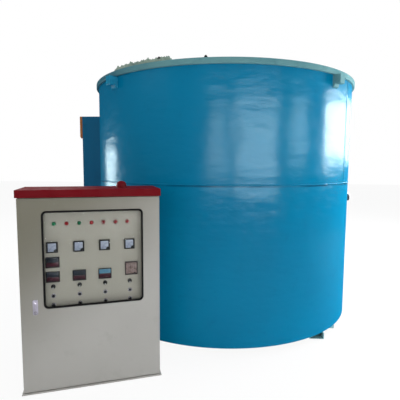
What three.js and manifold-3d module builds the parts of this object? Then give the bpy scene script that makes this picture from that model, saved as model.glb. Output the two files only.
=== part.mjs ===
// Electric pit furnace and its control cabinet, in millimetres, +Z up.
// The origin is on the furnace's axis at floor level. The front is -Y.
// An azimuth is an angle about the furnace's axis, from the front towards +X.
// The cabinet is built in its own frame: x across its front, y towards its back, z up.

import * as THREE from "three";
import { mergeVertices } from "three/addons/utils/BufferGeometryUtils.js";
import Module from "manifold-3d";

const wasm = await Module();
wasm.setup();

// General values
const CLEARANCE = 0.3; // between pieces that seat on one another
const OVERRUN = 6; // how far a cutting tool runs past what it cuts
const MERGE_DISTANCE = 0.003; // vertices nearer than this are one
const RING_SIDES = 40; // facets round the furnace's rings
const ROD_SIDES = 8; // facets round rods and the holes they pass
const KNOB_SIDES = 10; // facets round knobs, buttons and instrument cans
const NUT_SIDES = 6;
const DEGREE = Math.PI / 180;

// Shell and bottom
const SHELL_RADIUS = 1460;
const SHELL_WALL = 8;
const SHELL_HEIGHT = 2455;
const LOWER_COURSE_HEIGHT = 1450; // height of the girth weld above the shell's bottom edge
const SEAM_WIDTH = 14;
const SEAM_RISE = 3;
const BOTTOM_PLATE_THICKNESS = 10;

// Base frame: three channels laid on their webs, tied by two bars under the bottom plate
const BEAM_WIDTH = 140;
const BEAM_HEIGHT = 60;
const BEAM_WEB = 7;
const BEAM_FLANGE = 10;
const BEAM_INSET = 517; // of an outer beam's centre from the shell
const BEAM_PROUD = 36.7; // of an outer beam's end beyond the shell
const TIE_WIDTH = 80;
const TIE_HEIGHT = 38;
const TIE_INSET = 613; // of a tie's centre from the shell
const TIE_PROUD = 5.3; // of a tie's end beyond the shell

// Mouth flange: a rolled rim on the shell's top edge with a cover plate in to the throat
const FLANGE_OVERHANG = 25;
const FLANGE_HEIGHT = 52;
const FLANGE_RIM_WIDTH = 45;
const FLANGE_PLATE = 16;
const FLANGE_EDGE_RADIUS = 14;
const FLANGE_UNDERCUT = 8;
const EDGE_STEPS = 2;

// Lining
const WALL_INSULATION = 222;
const BRICK_THICKNESS = 120;
const FLOOR_INSULATION = 180;
const FLOOR_BRICK_THICKNESS = 150;
const LEDGE_DEPTH = 70;
const LEDGE_THICKNESS = 40;
const FIRST_LEDGE_RISE = 47; // from the brick floor to the top of the lowest ledge
const ZONES = ["lower", "middle", "upper"];
const ZONE_HEADROOM = 120; // from the upper zone to the lid's plug

// Lifting lugs
const LUG_AZIMUTHS = { front_right: 45, rear_right: 135, rear_left: 225, front_left: 315 };
const LUG_WIDTH = 80;
const LUG_PROJECTION = 78;
const LUG_ROOT_HEIGHT = 115;
const LUG_END_HEIGHT = 84;
const LUG_CORNER_RADIUS = 8;
const LUG_TOE_LENGTH = 26;
const LUG_LIP_LENGTH = 38;
const LUG_NOTCH_RISE = 8;

// Hearth plate that carries the charge
const HEARTH_MARGIN = 100; // from the bricks' inner face to the plate's edge
const HEARTH_THICKNESS = 40;
const HEARTH_SLOTS = 10;
const HEARTH_SLOT_WIDTH = 60;
const HEARTH_SLOT_INNER = 380;
const HEARTH_SLOT_MARGIN = 130; // from a slot's outer end to the plate's edge
const HEARTH_CENTRE_HOLE = 140;
const HEARTH_SIDES = 24;

// Heating elements: one bar bent to and fro round each zone, with two lead-out rods
const ELEMENT_LOOPS = 18;
const ELEMENT_BAR = 20;
const ELEMENT_HEADROOM = 50; // from an element's top bends to the ledge over it
const LEAD_AZIMUTH = 270;
const LEAD_SPREAD = 180;
const LEAD_RADIUS = 12;
const LEAD_DROP = 14; // from an element's top to its leads' centres
const LEAD_REACH = 150; // beyond the shell
const LEAD_HOLE_CLEARANCE = 4;
const LEAD_BLOCK_DEPTH = 60;
const LEAD_BLOCK_WIDTH = 260;
const LEAD_BLOCK_HEIGHT = 90;

// Thermocouples
const THERMOCOUPLE_AZIMUTHS = { lower: 108, middle: 96.5, upper: 108 };
const THERMOCOUPLE_SHEATH_RADIUS = 12;
const THERMOCOUPLE_INSERTION = 110; // past the lining's inner face
const THERMOCOUPLE_PLATE_RADIUS = 42;
const THERMOCOUPLE_PLATE = 8;
const THERMOCOUPLE_NECK = 75;
const THERMOCOUPLE_HEAD_RADIUS = 38;
const THERMOCOUPLE_HEAD_LENGTH = 68;
const THERMOCOUPLE_CAP_RADIUS = 44;
const THERMOCOUPLE_CAP = 12;
const THERMOCOUPLE_EAR = 16;
const THERMOCOUPLE_EAR_RISE = 8;
const THERMOCOUPLE_HOLE_CLEARANCE = 3;

// Terminal box on the shell's side
const TERMINAL_BOX_WIDTH = 360;
const TERMINAL_BOX_DEPTH = 234; // from the shell to the cover's face
const TERMINAL_BOX_DROP = 259; // from the shell's top edge down to the box
const TERMINAL_BOX_BOTTOM = 350; // above the floor
const TERMINAL_SHEET = 4;
const TERMINAL_LIP = 25;
const TERMINAL_COVER_DEPTH = 14;
const TERMINAL_COVER_SHEET = 3;
const TERMINAL_COVER_GAP = 3;
const TERMINAL_BOARD_HEIGHT = 262;
const TERMINAL_BOARD_THICKNESS = 30;
const TERMINAL_BOARD_CHAMFER = 20;
const TERMINAL_HINGE_RADIUS = 8;
const TERMINAL_HINGE_BARREL = 40;
const TERMINAL_HINGE_PIN_RADIUS = 4;
const TERMINAL_HINGE_LEAF = 40;
const TERMINAL_HINGE_SHARES = [0.14, 0.84]; // of the cover's height
const GLAND_RADIUS = 28;
const GLAND_LENGTH = 36;

// Lid: seal, plate with ribs, plug and lifting eye
const SEAL_INSET = 20;
const SEAL_WIDTH = 190;
const SEAL_THICKNESS = 20;
const LID_OVERLAP = 10;
const LID_PLATE_THICKNESS = 16;
const PLUG_CLEARANCE = 30;
const PLUG_DEPTH = 230; // below the flange's top
const PLUG_CHAMFER = 40;
const LID_RIBS = 8;
const LID_RIB_THICKNESS = 14;
const LID_RIB_ROOT_HEIGHT = 108;
const LID_RIB_TIP_HEIGHT = 20;
const LID_RIB_INSET = 80;
const LID_BOSS_RADIUS = 130;
const LID_BOSS_HEIGHT = 120;
const LID_BOSS_SIDES = 24;
const EYE_WIDTH = 200;
const EYE_TOP_RADIUS = 70;
const EYE_CENTRE_HEIGHT = 90;
const EYE_HOLE_RADIUS = 38;
const EYE_THICKNESS = 40;

// Control cabinet
const CABINET_ANGLE = 19.3; // degrees about +Z
const CABINET_AZIMUTH = -14.885; // of its front right corner about the furnace
const CABINET_STANDOFF = 403.3; // from the shell to that corner
const CABINET_WIDTH = 1000;
const CABINET_DEPTH = 400;
const CABINET_HEIGHT = 1500;
const CABINET_SHEET = 3;
const CABINET_LIP = 30;
const BASE_THICKNESS = 8;
const BASE_OVERHANG = 12;
const CAP_HEIGHT = 55;
const CAP_OVERHANG = 10;
const CAP_RETURN = 40;
const BEACON_RADIUS = 42;
const BEACON_HEIGHT = 52;
const BEACON_BASE_HEIGHT = 14;
const BEACON_PLACE_SHARE = 0.73; // of the cabinet's width
const BEACON_DOME_STEPS = 4;
const CABINET_GLAND_SHARES = [0.35, 0.65]; // of the cabinet's width
const CABINET_GLAND_RISE = 90;

// Cabinet door with its window
const DOOR_THICKNESS = 24;
const DOOR_SHEET = 3;
const DOOR_GAP = 4; // to the cabinet's front edge
const DOOR_FLOOR_GAP = 6; // above the base
const DOOR_CAP_GAP = 5; // under the cap
const DOOR_AXIS_INSET = 6; // of the hinge axis, from the door's right and back faces
const DOOR_PIN_RADIUS = 4;
const DOOR_PIN_CLEARANCE = 0.5;
const WINDOW_LEFT = 155;
const WINDOW_RIGHT_MARGIN = 125;
const WINDOW_TOP_MARGIN = 150; // under the cabinet's top
const WINDOW_HEIGHT = 718;
const WINDOW_CORNER_RADIUS = 35;
const WINDOW_CORNER_STEPS = 2;
const GASKET_WIDTH = 14;
const GASKET_LIP = 3;
const GASKET_WEB = 3;
const GLASS_THICKNESS = 4;

// Door lock
const LOCK_X = 99;
const LOCK_RISE = 20; // of the plate's centre above the window's bottom edge
const LOCK_PLATE_WIDTH = 36;
const LOCK_PLATE_HEIGHT = 112;
const LOCK_PLATE_THICKNESS = 4;
const LOCK_PLATE_CORNER = 8;
const LOCK_SPINDLE_RISE = 30; // of the spindle above the plate's centre
const LOCK_BOSS_RADIUS = 12;
const LOCK_SPINDLE_RADIUS = 5;
const LOCK_TONGUE_HEIGHT = 8;
const LOCK_NUT_RADIUS = 16;
const LOCK_KEY_RADIUS = 9;
const LOCK_KEY_DROP = 42; // of the key cylinder below the plate's centre
const LOCK_KEY_PROUD = 3;
const LEVER_LENGTH = 58;
const LEVER_WIDTH = 18;
const LEVER_THICKNESS = 9;
const LEVER_SLOT = 5;
const LEVER_PIN_RADIUS = 2;
const LEVER_GAP = 0.8; // from the plate to the lever
const CAM_LENGTH = 76;
const CAM_WIDTH = 22;
const CAM_THICKNESS = 4;
const CAM_GAP = 5; // behind the cabinet's lip

// Instrument panel
const PANEL_DEPTH = 50; // of its front face behind the door's face
const PANEL_SHEET = 3;
const PANEL_RIM_DEPTH = 30;
const COLUMN_COUNT = 4;
const COLUMN_LEFT_MARGIN = 63; // from the window's left edge to the first column
const COLUMN_RIGHT_MARGIN = 101;
const LAMP_COUNT = 7;
const LAMP_LEFT_MARGIN = 80;
const LAMP_RIGHT_MARGIN = 115;
const LAMP_DROP = 101; // each drop is measured from the window's top edge
const LAMP_RADIUS = 15;
const LAMP_RIM = 5;
const LAMP_LENS_RADIUS = 11;
const LAMP_LENS_LENGTH = 12;
const METER_DROP = 275;
const METER_SIZE = 80;
const METER_BEZEL = 14;
const METER_CAN_RADIUS = 30;
const METER_CAN_LENGTH = 45;
const CONTROLLER_DROP = 496;
const CONTROLLER_UPPER_DROP = 387;
const CONTROLLER_WIDTH = 96;
const CONTROLLER_HEIGHT = 80;
const CONTROLLER_BEZEL = 10;
const CONTROLLER_BODY_LENGTH = 70;
const CASE_INSET = 5; // from an instrument's bezel in to its case
const RECORDER_SHIFT = 13; // from the last column to the recorder's centre
const RECORDER_DROP = 468;
const RECORDER_WIDTH = 96;
const RECORDER_HEIGHT = 104;
const SELECTOR_DROP = 569;
const BUTTON_DROPS = { start: 640, stop: 710 };
const COLLAR_RADIUS = 16;
const COLLAR_HEIGHT = 5;
const SELECTOR_RADIUS = 15;
const SELECTOR_SKIRT = 6;
const SELECTOR_GRIP_WIDTH = 9;
const SELECTOR_GRIP_LENGTH = 27;
const SELECTOR_GRIP_HEIGHT = 14;
const SHAFT_RADIUS = 5;
const SHAFT_LENGTH = 14;
const BUTTON_RADIUS = 11;
const BUTTON_PROUD = 6; // beyond its collar
const BUTTON_TRAVEL = 4;

// Heights and radii that several pieces share
const shellBase = BEAM_HEIGHT;
const shellTop = shellBase + SHELL_HEIGHT;
const shellInner = SHELL_RADIUS - SHELL_WALL;
const flangeTop = shellTop + FLANGE_HEIGHT;
const flangePlateUnderside = flangeTop - FLANGE_PLATE;
const flangeRadius = SHELL_RADIUS + FLANGE_OVERHANG;
const flangeRimInner = flangeRadius - FLANGE_RIM_WIDTH;
const brickOuter = shellInner - WALL_INSULATION;
const chamberRadius = brickOuter - BRICK_THICKNESS;
const bottomPlateTop = shellBase + BOTTOM_PLATE_THICKNESS;
const brickBase = bottomPlateTop + FLOOR_INSULATION;
const floorTop = brickBase + FLOOR_BRICK_THICKNESS;
const plugBottom = flangeTop - PLUG_DEPTH;
const firstLedgeTop = floorTop + FIRST_LEDGE_RISE;
const zonePitch = (plugBottom - ZONE_HEADROOM - firstLedgeTop) / ZONES.length;
const ledgeInner = chamberRadius - LEDGE_DEPTH;
const elementRadius = chamberRadius - LEDGE_DEPTH / 2;
const elementHeight = zonePitch - LEDGE_THICKNESS - ELEMENT_HEADROOM;
const leadHoleRadius = LEAD_RADIUS + LEAD_HOLE_CLEARANCE;
const sealInner = chamberRadius + SEAL_INSET;
const sealOuter = sealInner + SEAL_WIDTH;
const sealTop = flangeTop + SEAL_THICKNESS;
const lidTop = sealTop + LID_PLATE_THICKNESS;
const lidRadius = sealOuter + LID_OVERLAP;
const hearthRadius = chamberRadius - HEARTH_MARGIN;
const bossTop = lidTop + LID_BOSS_HEIGHT;

const ledgeTop = (zone) => firstLedgeTop + zone * zonePitch;
const leadHeight = (zone) => ledgeTop(zone) + elementHeight - LEAD_DROP;
const zoneCentre = (zone) => ledgeTop(zone) + elementHeight / 2;

// Colours and finishes
const finish = (color, roughness, metalness) =>
  new THREE.MeshStandardMaterial({ color, roughness, metalness });
const FINISHES = {
  bluePaint: finish(0x06719c, 0.28, 0.1),
  flangePaint: finish(0x5d8f96, 0.5, 0.1),
  framePaint: finish(0x4d6a6c, 0.6, 0.2),
  steel: finish(0x6d7072, 0.55, 0.8),
  castIron: finish(0x3b3a39, 0.7, 0.6),
  brick: finish(0xd9c9ab, 0.95, 0),
  fibre: finish(0xcfd0c2, 0.98, 0),
  element: finish(0x5b4f49, 0.6, 0.7),
  ceramic: finish(0xe8e2d2, 0.6, 0),
  board: finish(0x9a5a2a, 0.5, 0),
  aluminium: finish(0xa9abad, 0.45, 0.9),
  greyPaint: finish(0x9c9a8e, 0.45, 0.1),
  redPaint: finish(0x6d0c18, 0.35, 0.1),
  redLens: finish(0x8d0f1a, 0.2, 0),
  rubber: finish(0x101010, 0.8, 0),
  glass: finish(0xc9d3d6, 0.05, 0),
  panelPaint: finish(0xa6a398, 0.5, 0.1),
  black: finish(0x17181a, 0.4, 0),
  meterFace: finish(0xb9c3d2, 0.4, 0),
  recorder: finish(0xa8918b, 0.5, 0),
  chrome: finish(0xb6b8ba, 0.2, 1),
};

// Solids

// A closed geometry as a solid: its vertices are merged on position alone.
function solid(geometry) {
  const bare = new THREE.BufferGeometry();
  const loose = geometry.index ? geometry.toNonIndexed() : geometry;
  bare.setAttribute("position", loose.getAttribute("position"));
  const merged = mergeVertices(bare, MERGE_DISTANCE);
  return new wasm.Manifold(
    new wasm.Mesh({
      numProp: 3,
      vertProperties: merged.getAttribute("position").array,
      triVerts: new Uint32Array(merged.index.array),
    }),
  );
}

function geometryOf(manifold) {
  const { vertProperties, triVerts } = manifold.getMesh();
  return new THREE.BufferGeometry()
    .setAttribute("position", new THREE.BufferAttribute(vertProperties, 3))
    .setIndex(new THREE.BufferAttribute(triVerts, 1));
}

const join = (...geometries) =>
  geometryOf(geometries.map(solid).reduce((whole, next) => whole.add(next)));

const cut = (geometry, ...tools) =>
  geometryOf(tools.map(solid).reduce((rest, tool) => rest.subtract(tool), solid(geometry)));

function block(x0, x1, y0, y1, z0, z1) {
  const box = new THREE.BoxGeometry(x1 - x0, y1 - y0, z1 - z0);
  return box.translate((x0 + x1) / 2, (y0 + y1) / 2, (z0 + z1) / 2);
}

// A profile of [radius, height] points, turned once about +Z. It runs up its outer side.
function revolve(profile, sides = RING_SIDES) {
  const [first, last] = [profile[0], profile.at(-1)];
  const onAxis = first[0] === 0 && last[0] === 0;
  const points = (onAxis ? profile : [...profile, first]).map(([r, z]) => new THREE.Vector2(r, z));
  return new THREE.LatheGeometry(points, sides).rotateX(Math.PI / 2);
}

// A flat ring or disc between two heights.
const ring = (inner, outer, bottom, top, sides) =>
  revolve([[inner, bottom], [outer, bottom], [outer, top], [inner, top]], sides);

const extrude = (shape, depth, curveSegments = EDGE_STEPS) =>
  new THREE.ExtrudeGeometry(shape, { depth, bevelEnabled: false, curveSegments });

function polygon(points) {
  return new THREE.Shape(points.map(([x, y]) => new THREE.Vector2(x, y)));
}

// Points of a regular polygon or circle.
function circlePoints(x, y, radius, sides) {
  return Array.from({ length: sides }, (_, i) => {
    const angle = (2 * Math.PI * i) / sides;
    return new THREE.Vector2(x + radius * Math.cos(angle), y + radius * Math.sin(angle));
  });
}

// A cylinder that points away from the furnace's axis, shifted sideways by offset.
function radialRod(radius, from, to, azimuth, height, offset = 0, sides = ROD_SIDES) {
  const rod = new THREE.CylinderGeometry(radius, radius, to - from, sides);
  return rod
    .translate(offset, -(from + to) / 2, 0)
    .rotateZ(azimuth * DEGREE)
    .translate(0, 0, height);
}

// A cylinder along the cabinet's depth.
function depthRod(radius, x, z, front, back, sides = KNOB_SIDES) {
  const rod = new THREE.CylinderGeometry(radius, radius, back - front, sides);
  return rod.translate(x, (front + back) / 2, z);
}

function uprightRod(radius, x, y, bottom, top, sides = KNOB_SIDES) {
  const rod = new THREE.CylinderGeometry(radius, radius, top - bottom, sides);
  return rod.rotateX(Math.PI / 2).translate(x, y, (bottom + top) / 2);
}

function piece(group, name, geometry, material) {
  const mesh = new THREE.Mesh(geometry, material);
  mesh.name = name;
  group.add(mesh);
}

// Base frame

// Half of a chord of the shell, at a distance from the axis.
const halfChord = (distance) => Math.sqrt(SHELL_RADIUS ** 2 - distance ** 2);

const beamSpacing = SHELL_RADIUS - BEAM_INSET;
const beamReach = halfChord(beamSpacing + BEAM_WIDTH / 2) + BEAM_PROUD;
const tieSpacing = SHELL_RADIUS - TIE_INSET;
const tieReach = halfChord(tieSpacing + TIE_WIDTH / 2) + TIE_PROUD;

function baseBeam(x) {
  const half = BEAM_WIDTH / 2;
  const channel = polygon([
    [-half, 0],
    [half, 0],
    [half, BEAM_HEIGHT],
    [half - BEAM_FLANGE, BEAM_HEIGHT],
    [half - BEAM_FLANGE, BEAM_WEB],
    [BEAM_FLANGE - half, BEAM_WEB],
    [BEAM_FLANGE - half, BEAM_HEIGHT],
    [-half, BEAM_HEIGHT],
  ]);
  return extrude(channel, 2 * beamReach).rotateX(Math.PI / 2).translate(x, beamReach, 0);
}

function baseFrame() {
  const beams = [-beamSpacing, 0, beamSpacing].map(baseBeam);
  const ties = [-tieSpacing, tieSpacing].map((y) =>
    block(
      -tieReach,
      tieReach,
      y - TIE_WIDTH / 2,
      y + TIE_WIDTH / 2,
      BEAM_HEIGHT - TIE_HEIGHT,
      BEAM_HEIGHT,
    ),
  );
  return join(...beams, ...ties);
}

// Shell, flange and lining

// The holes that the leads and the thermocouples pass through, from inside the lining to outside the shell.
function wallHoles() {
  const from = ledgeInner;
  const to = SHELL_RADIUS + OVERRUN;
  return ZONES.flatMap((zone, i) => [
    radialRod(leadHoleRadius, from, to, LEAD_AZIMUTH, leadHeight(i), LEAD_SPREAD / 2),
    radialRod(leadHoleRadius, from, to, LEAD_AZIMUTH, leadHeight(i), -LEAD_SPREAD / 2),
    radialRod(
      THERMOCOUPLE_SHEATH_RADIUS + THERMOCOUPLE_HOLE_CLEARANCE,
      from,
      to,
      THERMOCOUPLE_AZIMUTHS[zone],
      zoneCentre(i),
    ),
  ]);
}

// The shell's outer face from its bottom edge to its top edge, grown outwards by a margin.
function shellFace(margin) {
  const seam = shellBase + LOWER_COURSE_HEIGHT;
  const radius = SHELL_RADIUS + margin;
  return [
    [radius, shellBase],
    [radius, seam - SEAM_WIDTH / 2 - margin],
    [radius + SEAM_RISE, seam - margin],
    [radius + SEAM_RISE, seam + margin],
    [radius, seam + SEAM_WIDTH / 2 + margin],
    [radius, shellTop],
  ];
}

function shellPlate() {
  const face = shellFace(0);
  const tube = revolve([[shellInner, shellBase], ...face, [shellInner, shellTop]]);
  return cut(tube, ...wallHoles());
}

// What a piece welded to the shell is cut back from.
const shellSeat = () => revolve([[0, shellBase], ...shellFace(CLEARANCE), [0, shellTop]]);

function mouthFlange() {
  const rounded = Array.from({ length: EDGE_STEPS + 1 }, (_, i) => {
    const angle = (i / EDGE_STEPS) * (Math.PI / 2);
    return [
      flangeRadius - FLANGE_EDGE_RADIUS * (1 - Math.cos(angle)),
      flangeTop - FLANGE_EDGE_RADIUS * (1 - Math.sin(angle)),
    ];
  });
  return revolve([
    [chamberRadius, flangePlateUnderside],
    [flangeRimInner, flangePlateUnderside],
    [flangeRimInner, shellTop],
    [flangeRadius - FLANGE_UNDERCUT, shellTop],
    [flangeRadius, shellTop + FLANGE_UNDERCUT],
    ...rounded,
    [chamberRadius, flangeTop],
  ]);
}

// The blanket between the bricks and the shell, with its floor layer.
function wallInsulation() {
  const outer = shellInner - CLEARANCE;
  const rimInner = flangeRimInner - CLEARANCE;
  const top = flangePlateUnderside;
  const cup = revolve([
    [0, bottomPlateTop],
    [outer, bottomPlateTop],
    [outer, shellTop],
    [rimInner, shellTop],
    [rimInner, top],
    [brickOuter, top],
    [brickOuter, brickBase],
    [0, brickBase],
  ]);
  return cut(cup, ...wallHoles());
}

function brickLining() {
  const outer = brickOuter - CLEARANCE;
  const inner = ZONES.map((_, i) => ZONES.length - 1 - i).flatMap((i) => [
    [chamberRadius, ledgeTop(i)],
    [ledgeInner, ledgeTop(i)],
    ...(i
      ? [
          [ledgeInner, ledgeTop(i) - LEDGE_THICKNESS],
          [chamberRadius, ledgeTop(i) - LEDGE_THICKNESS],
        ]
      : [[ledgeInner, floorTop]]),
  ]);
  const wall = revolve([
    [outer, floorTop],
    [outer, flangePlateUnderside],
    [chamberRadius, flangePlateUnderside],
    ...inner,
  ]);
  return cut(wall, ...wallHoles());
}

function hearthPlate() {
  const plate = new THREE.Shape(circlePoints(0, 0, hearthRadius, HEARTH_SIDES));
  plate.holes.push(new THREE.Path(circlePoints(0, 0, HEARTH_CENTRE_HOLE, KNOB_SIDES)));
  const slotOuter = hearthRadius - HEARTH_SLOT_MARGIN;
  for (let i = 0; i < HEARTH_SLOTS; i++) {
    const angle = ((2 * i + 1) * Math.PI) / HEARTH_SLOTS;
    const corners = [
      [HEARTH_SLOT_INNER, -HEARTH_SLOT_WIDTH / 2],
      [slotOuter, -HEARTH_SLOT_WIDTH / 2],
      [slotOuter, HEARTH_SLOT_WIDTH / 2],
      [HEARTH_SLOT_INNER, HEARTH_SLOT_WIDTH / 2],
    ].map(([x, y]) => new THREE.Vector2(x, y).rotateAround(new THREE.Vector2(), angle));
    plate.holes.push(new THREE.Path(corners));
  }
  return extrude(plate, HEARTH_THICKNESS).translate(0, 0, floorTop);
}

function liftingLug(azimuth) {
  const toe = new THREE.Shape();
  const lip = LUG_PROJECTION - LUG_LIP_LENGTH;
  toe.moveTo(-SHELL_WALL, 0);
  toe.lineTo(-SHELL_WALL, -LUG_ROOT_HEIGHT);
  toe.lineTo(0, -LUG_ROOT_HEIGHT);
  toe.quadraticCurveTo(LUG_TOE_LENGTH, -LUG_ROOT_HEIGHT, LUG_TOE_LENGTH, LUG_NOTCH_RISE - LUG_END_HEIGHT);
  toe.quadraticCurveTo(lip, LUG_NOTCH_RISE - LUG_END_HEIGHT, lip, -LUG_END_HEIGHT);
  toe.lineTo(LUG_PROJECTION - LUG_CORNER_RADIUS, -LUG_END_HEIGHT);
  toe.quadraticCurveTo(
    LUG_PROJECTION,
    -LUG_END_HEIGHT,
    LUG_PROJECTION,
    LUG_CORNER_RADIUS - LUG_END_HEIGHT,
  );
  toe.lineTo(LUG_PROJECTION, 0);
  const lug = extrude(toe, LUG_WIDTH)
    .translate(SHELL_RADIUS, 0, -LUG_WIDTH / 2)
    .rotateX(Math.PI / 2)
    .rotateZ((azimuth - 90) * DEGREE)
    .translate(0, 0, shellTop - CLEARANCE);
  return cut(lug, shellSeat());
}

// Heating elements

// The way of a zone's bar, as [arc length from the lead azimuth, height] points on its cylinder.
function elementRoute(bottom, top) {
  const gap = LEAD_SPREAD / 2;
  const length = 2 * Math.PI * elementRadius - 2 * gap;
  const legs = 2 * ELEMENT_LOOPS;
  const pitch = length / (legs - 1);
  const points = [[gap, top]];
  for (let leg = 0; leg < legs - 1; leg++) {
    const end = leg % 2 === 0 ? bottom : top;
    points.push([gap + leg * pitch, end], [gap + (leg + 1) * pitch, end]);
  }
  points.push([gap + (legs - 1) * pitch, top]);
  return points;
}

// A square bar along a route on a cylinder. At each point the bar's two sides lie on the mitre
// of the runs that meet there, half a bar away from both, and its faces are half a bar in and out.
function cylinderBar(route, radius, thickness) {
  const half = thickness / 2;
  const direction = (a, b) => new THREE.Vector2(b[0] - a[0], b[1] - a[1]).normalize();
  const positions = [];
  route.forEach((point, i) => {
    const before = direction(route[Math.max(i - 1, 0)], route[Math.max(i, 1)]);
    const last = route.length - 1;
    const after = direction(route[Math.min(i, last - 1)], route[Math.min(i + 1, last)]);
    const mitre = before.clone().add(after).normalize();
    const reach = half / mitre.dot(before);
    for (const [side, depth] of [[1, 1], [1, -1], [-1, -1], [-1, 1]]) {
      const arc = point[0] - side * reach * mitre.y;
      const angle = LEAD_AZIMUTH * DEGREE + arc / radius;
      const r = radius + depth * half;
      const height = point[1] + side * reach * mitre.x;
      positions.push(r * Math.sin(angle), -r * Math.cos(angle), height);
    }
  });
  const index = [0, 1, 2, 0, 2, 3];
  for (let i = 0; i < route.length - 1; i++) {
    for (let k = 0; k < 4; k++) {
      const [a, b] = [4 * i + k, 4 * i + ((k + 1) % 4)];
      index.push(a, a + 4, b, b, a + 4, b + 4);
    }
  }
  const end = 4 * (route.length - 1);
  index.push(end, end + 2, end + 1, end, end + 3, end + 2);
  return new THREE.BufferGeometry()
    .setAttribute("position", new THREE.Float32BufferAttribute(positions, 3))
    .setIndex(index);
}

function heatingElement(zone) {
  const half = ELEMENT_BAR / 2;
  const bottom = ledgeTop(zone) + CLEARANCE + half;
  const top = ledgeTop(zone) + elementHeight - half;
  const bar = cylinderBar(elementRoute(bottom, top), elementRadius, ELEMENT_BAR);
  const rods = [-LEAD_SPREAD / 2, LEAD_SPREAD / 2].map((offset) =>
    radialRod(
      LEAD_RADIUS,
      elementRadius - half,
      SHELL_RADIUS + LEAD_REACH,
      LEAD_AZIMUTH,
      leadHeight(zone),
      offset,
    ),
  );
  return join(bar, ...rods);
}

// The block that holds a zone's two leads apart, seated on the shell.
function leadBlock(zone) {
  const z = leadHeight(zone);
  const body = block(
    -SHELL_RADIUS - LEAD_BLOCK_DEPTH,
    -shellInner,
    -LEAD_BLOCK_WIDTH / 2,
    LEAD_BLOCK_WIDTH / 2,
    z - LEAD_BLOCK_HEIGHT / 2,
    z + LEAD_BLOCK_HEIGHT / 2,
  );
  const bores = [-LEAD_SPREAD / 2, LEAD_SPREAD / 2].map((offset) =>
    radialRod(
      LEAD_RADIUS + CLEARANCE,
      shellInner - OVERRUN,
      SHELL_RADIUS + LEAD_BLOCK_DEPTH + OVERRUN,
      LEAD_AZIMUTH,
      z,
      offset,
    ),
  );
  return cut(body, shellSeat(), ...bores);
}

function thermocouple(zone) {
  const azimuth = THERMOCOUPLE_AZIMUTHS[ZONES[zone]];
  const z = zoneCentre(zone);
  const seat = SHELL_RADIUS + CLEARANCE;
  const neckEnd = seat + THERMOCOUPLE_PLATE + THERMOCOUPLE_NECK;
  const headEnd = neckEnd + THERMOCOUPLE_HEAD_LENGTH;
  const capEnd = headEnd + THERMOCOUPLE_CAP;
  const rod = (radius, from, to, sides) => radialRod(radius, from, to, azimuth, z, 0, sides);
  const plate = rod(THERMOCOUPLE_PLATE_RADIUS, shellInner, seat + THERMOCOUPLE_PLATE, KNOB_SIDES);
  const ears = [1, -1].map((side) =>
    radialRod(
      THERMOCOUPLE_EAR / 2,
      headEnd,
      capEnd + THERMOCOUPLE_EAR_RISE,
      azimuth,
      z + side * (THERMOCOUPLE_CAP_RADIUS - THERMOCOUPLE_EAR),
    ),
  );
  return join(
    rod(THERMOCOUPLE_SHEATH_RADIUS, chamberRadius - THERMOCOUPLE_INSERTION, headEnd),
    cut(plate, shellSeat()),
    rod(THERMOCOUPLE_HEAD_RADIUS, neckEnd, (headEnd + capEnd) / 2, KNOB_SIDES),
    rod(THERMOCOUPLE_CAP_RADIUS, headEnd, capEnd, KNOB_SIDES),
    ...ears,
  );
}

// Terminal box

const terminalTop = shellTop - TERMINAL_BOX_DROP;
const terminalFace = -SHELL_RADIUS - TERMINAL_BOX_DEPTH;
const terminalSeat = terminalFace + TERMINAL_COVER_DEPTH; // where the cover meets the box
const terminalHalf = TERMINAL_BOX_WIDTH / 2;
const boardBottom = terminalTop - TERMINAL_BOARD_HEIGHT;
const coverTop = boardBottom - TERMINAL_COVER_GAP;
const coverHinge = {
  x: terminalFace + TERMINAL_COVER_DEPTH / 2,
  y: terminalHalf + TERMINAL_HINGE_RADIUS + CLEARANCE,
};
const coverHingeHeights = TERMINAL_HINGE_SHARES.map(
  (share) => TERMINAL_BOX_BOTTOM + share * (coverTop - TERMINAL_BOX_BOTTOM),
);

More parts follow.
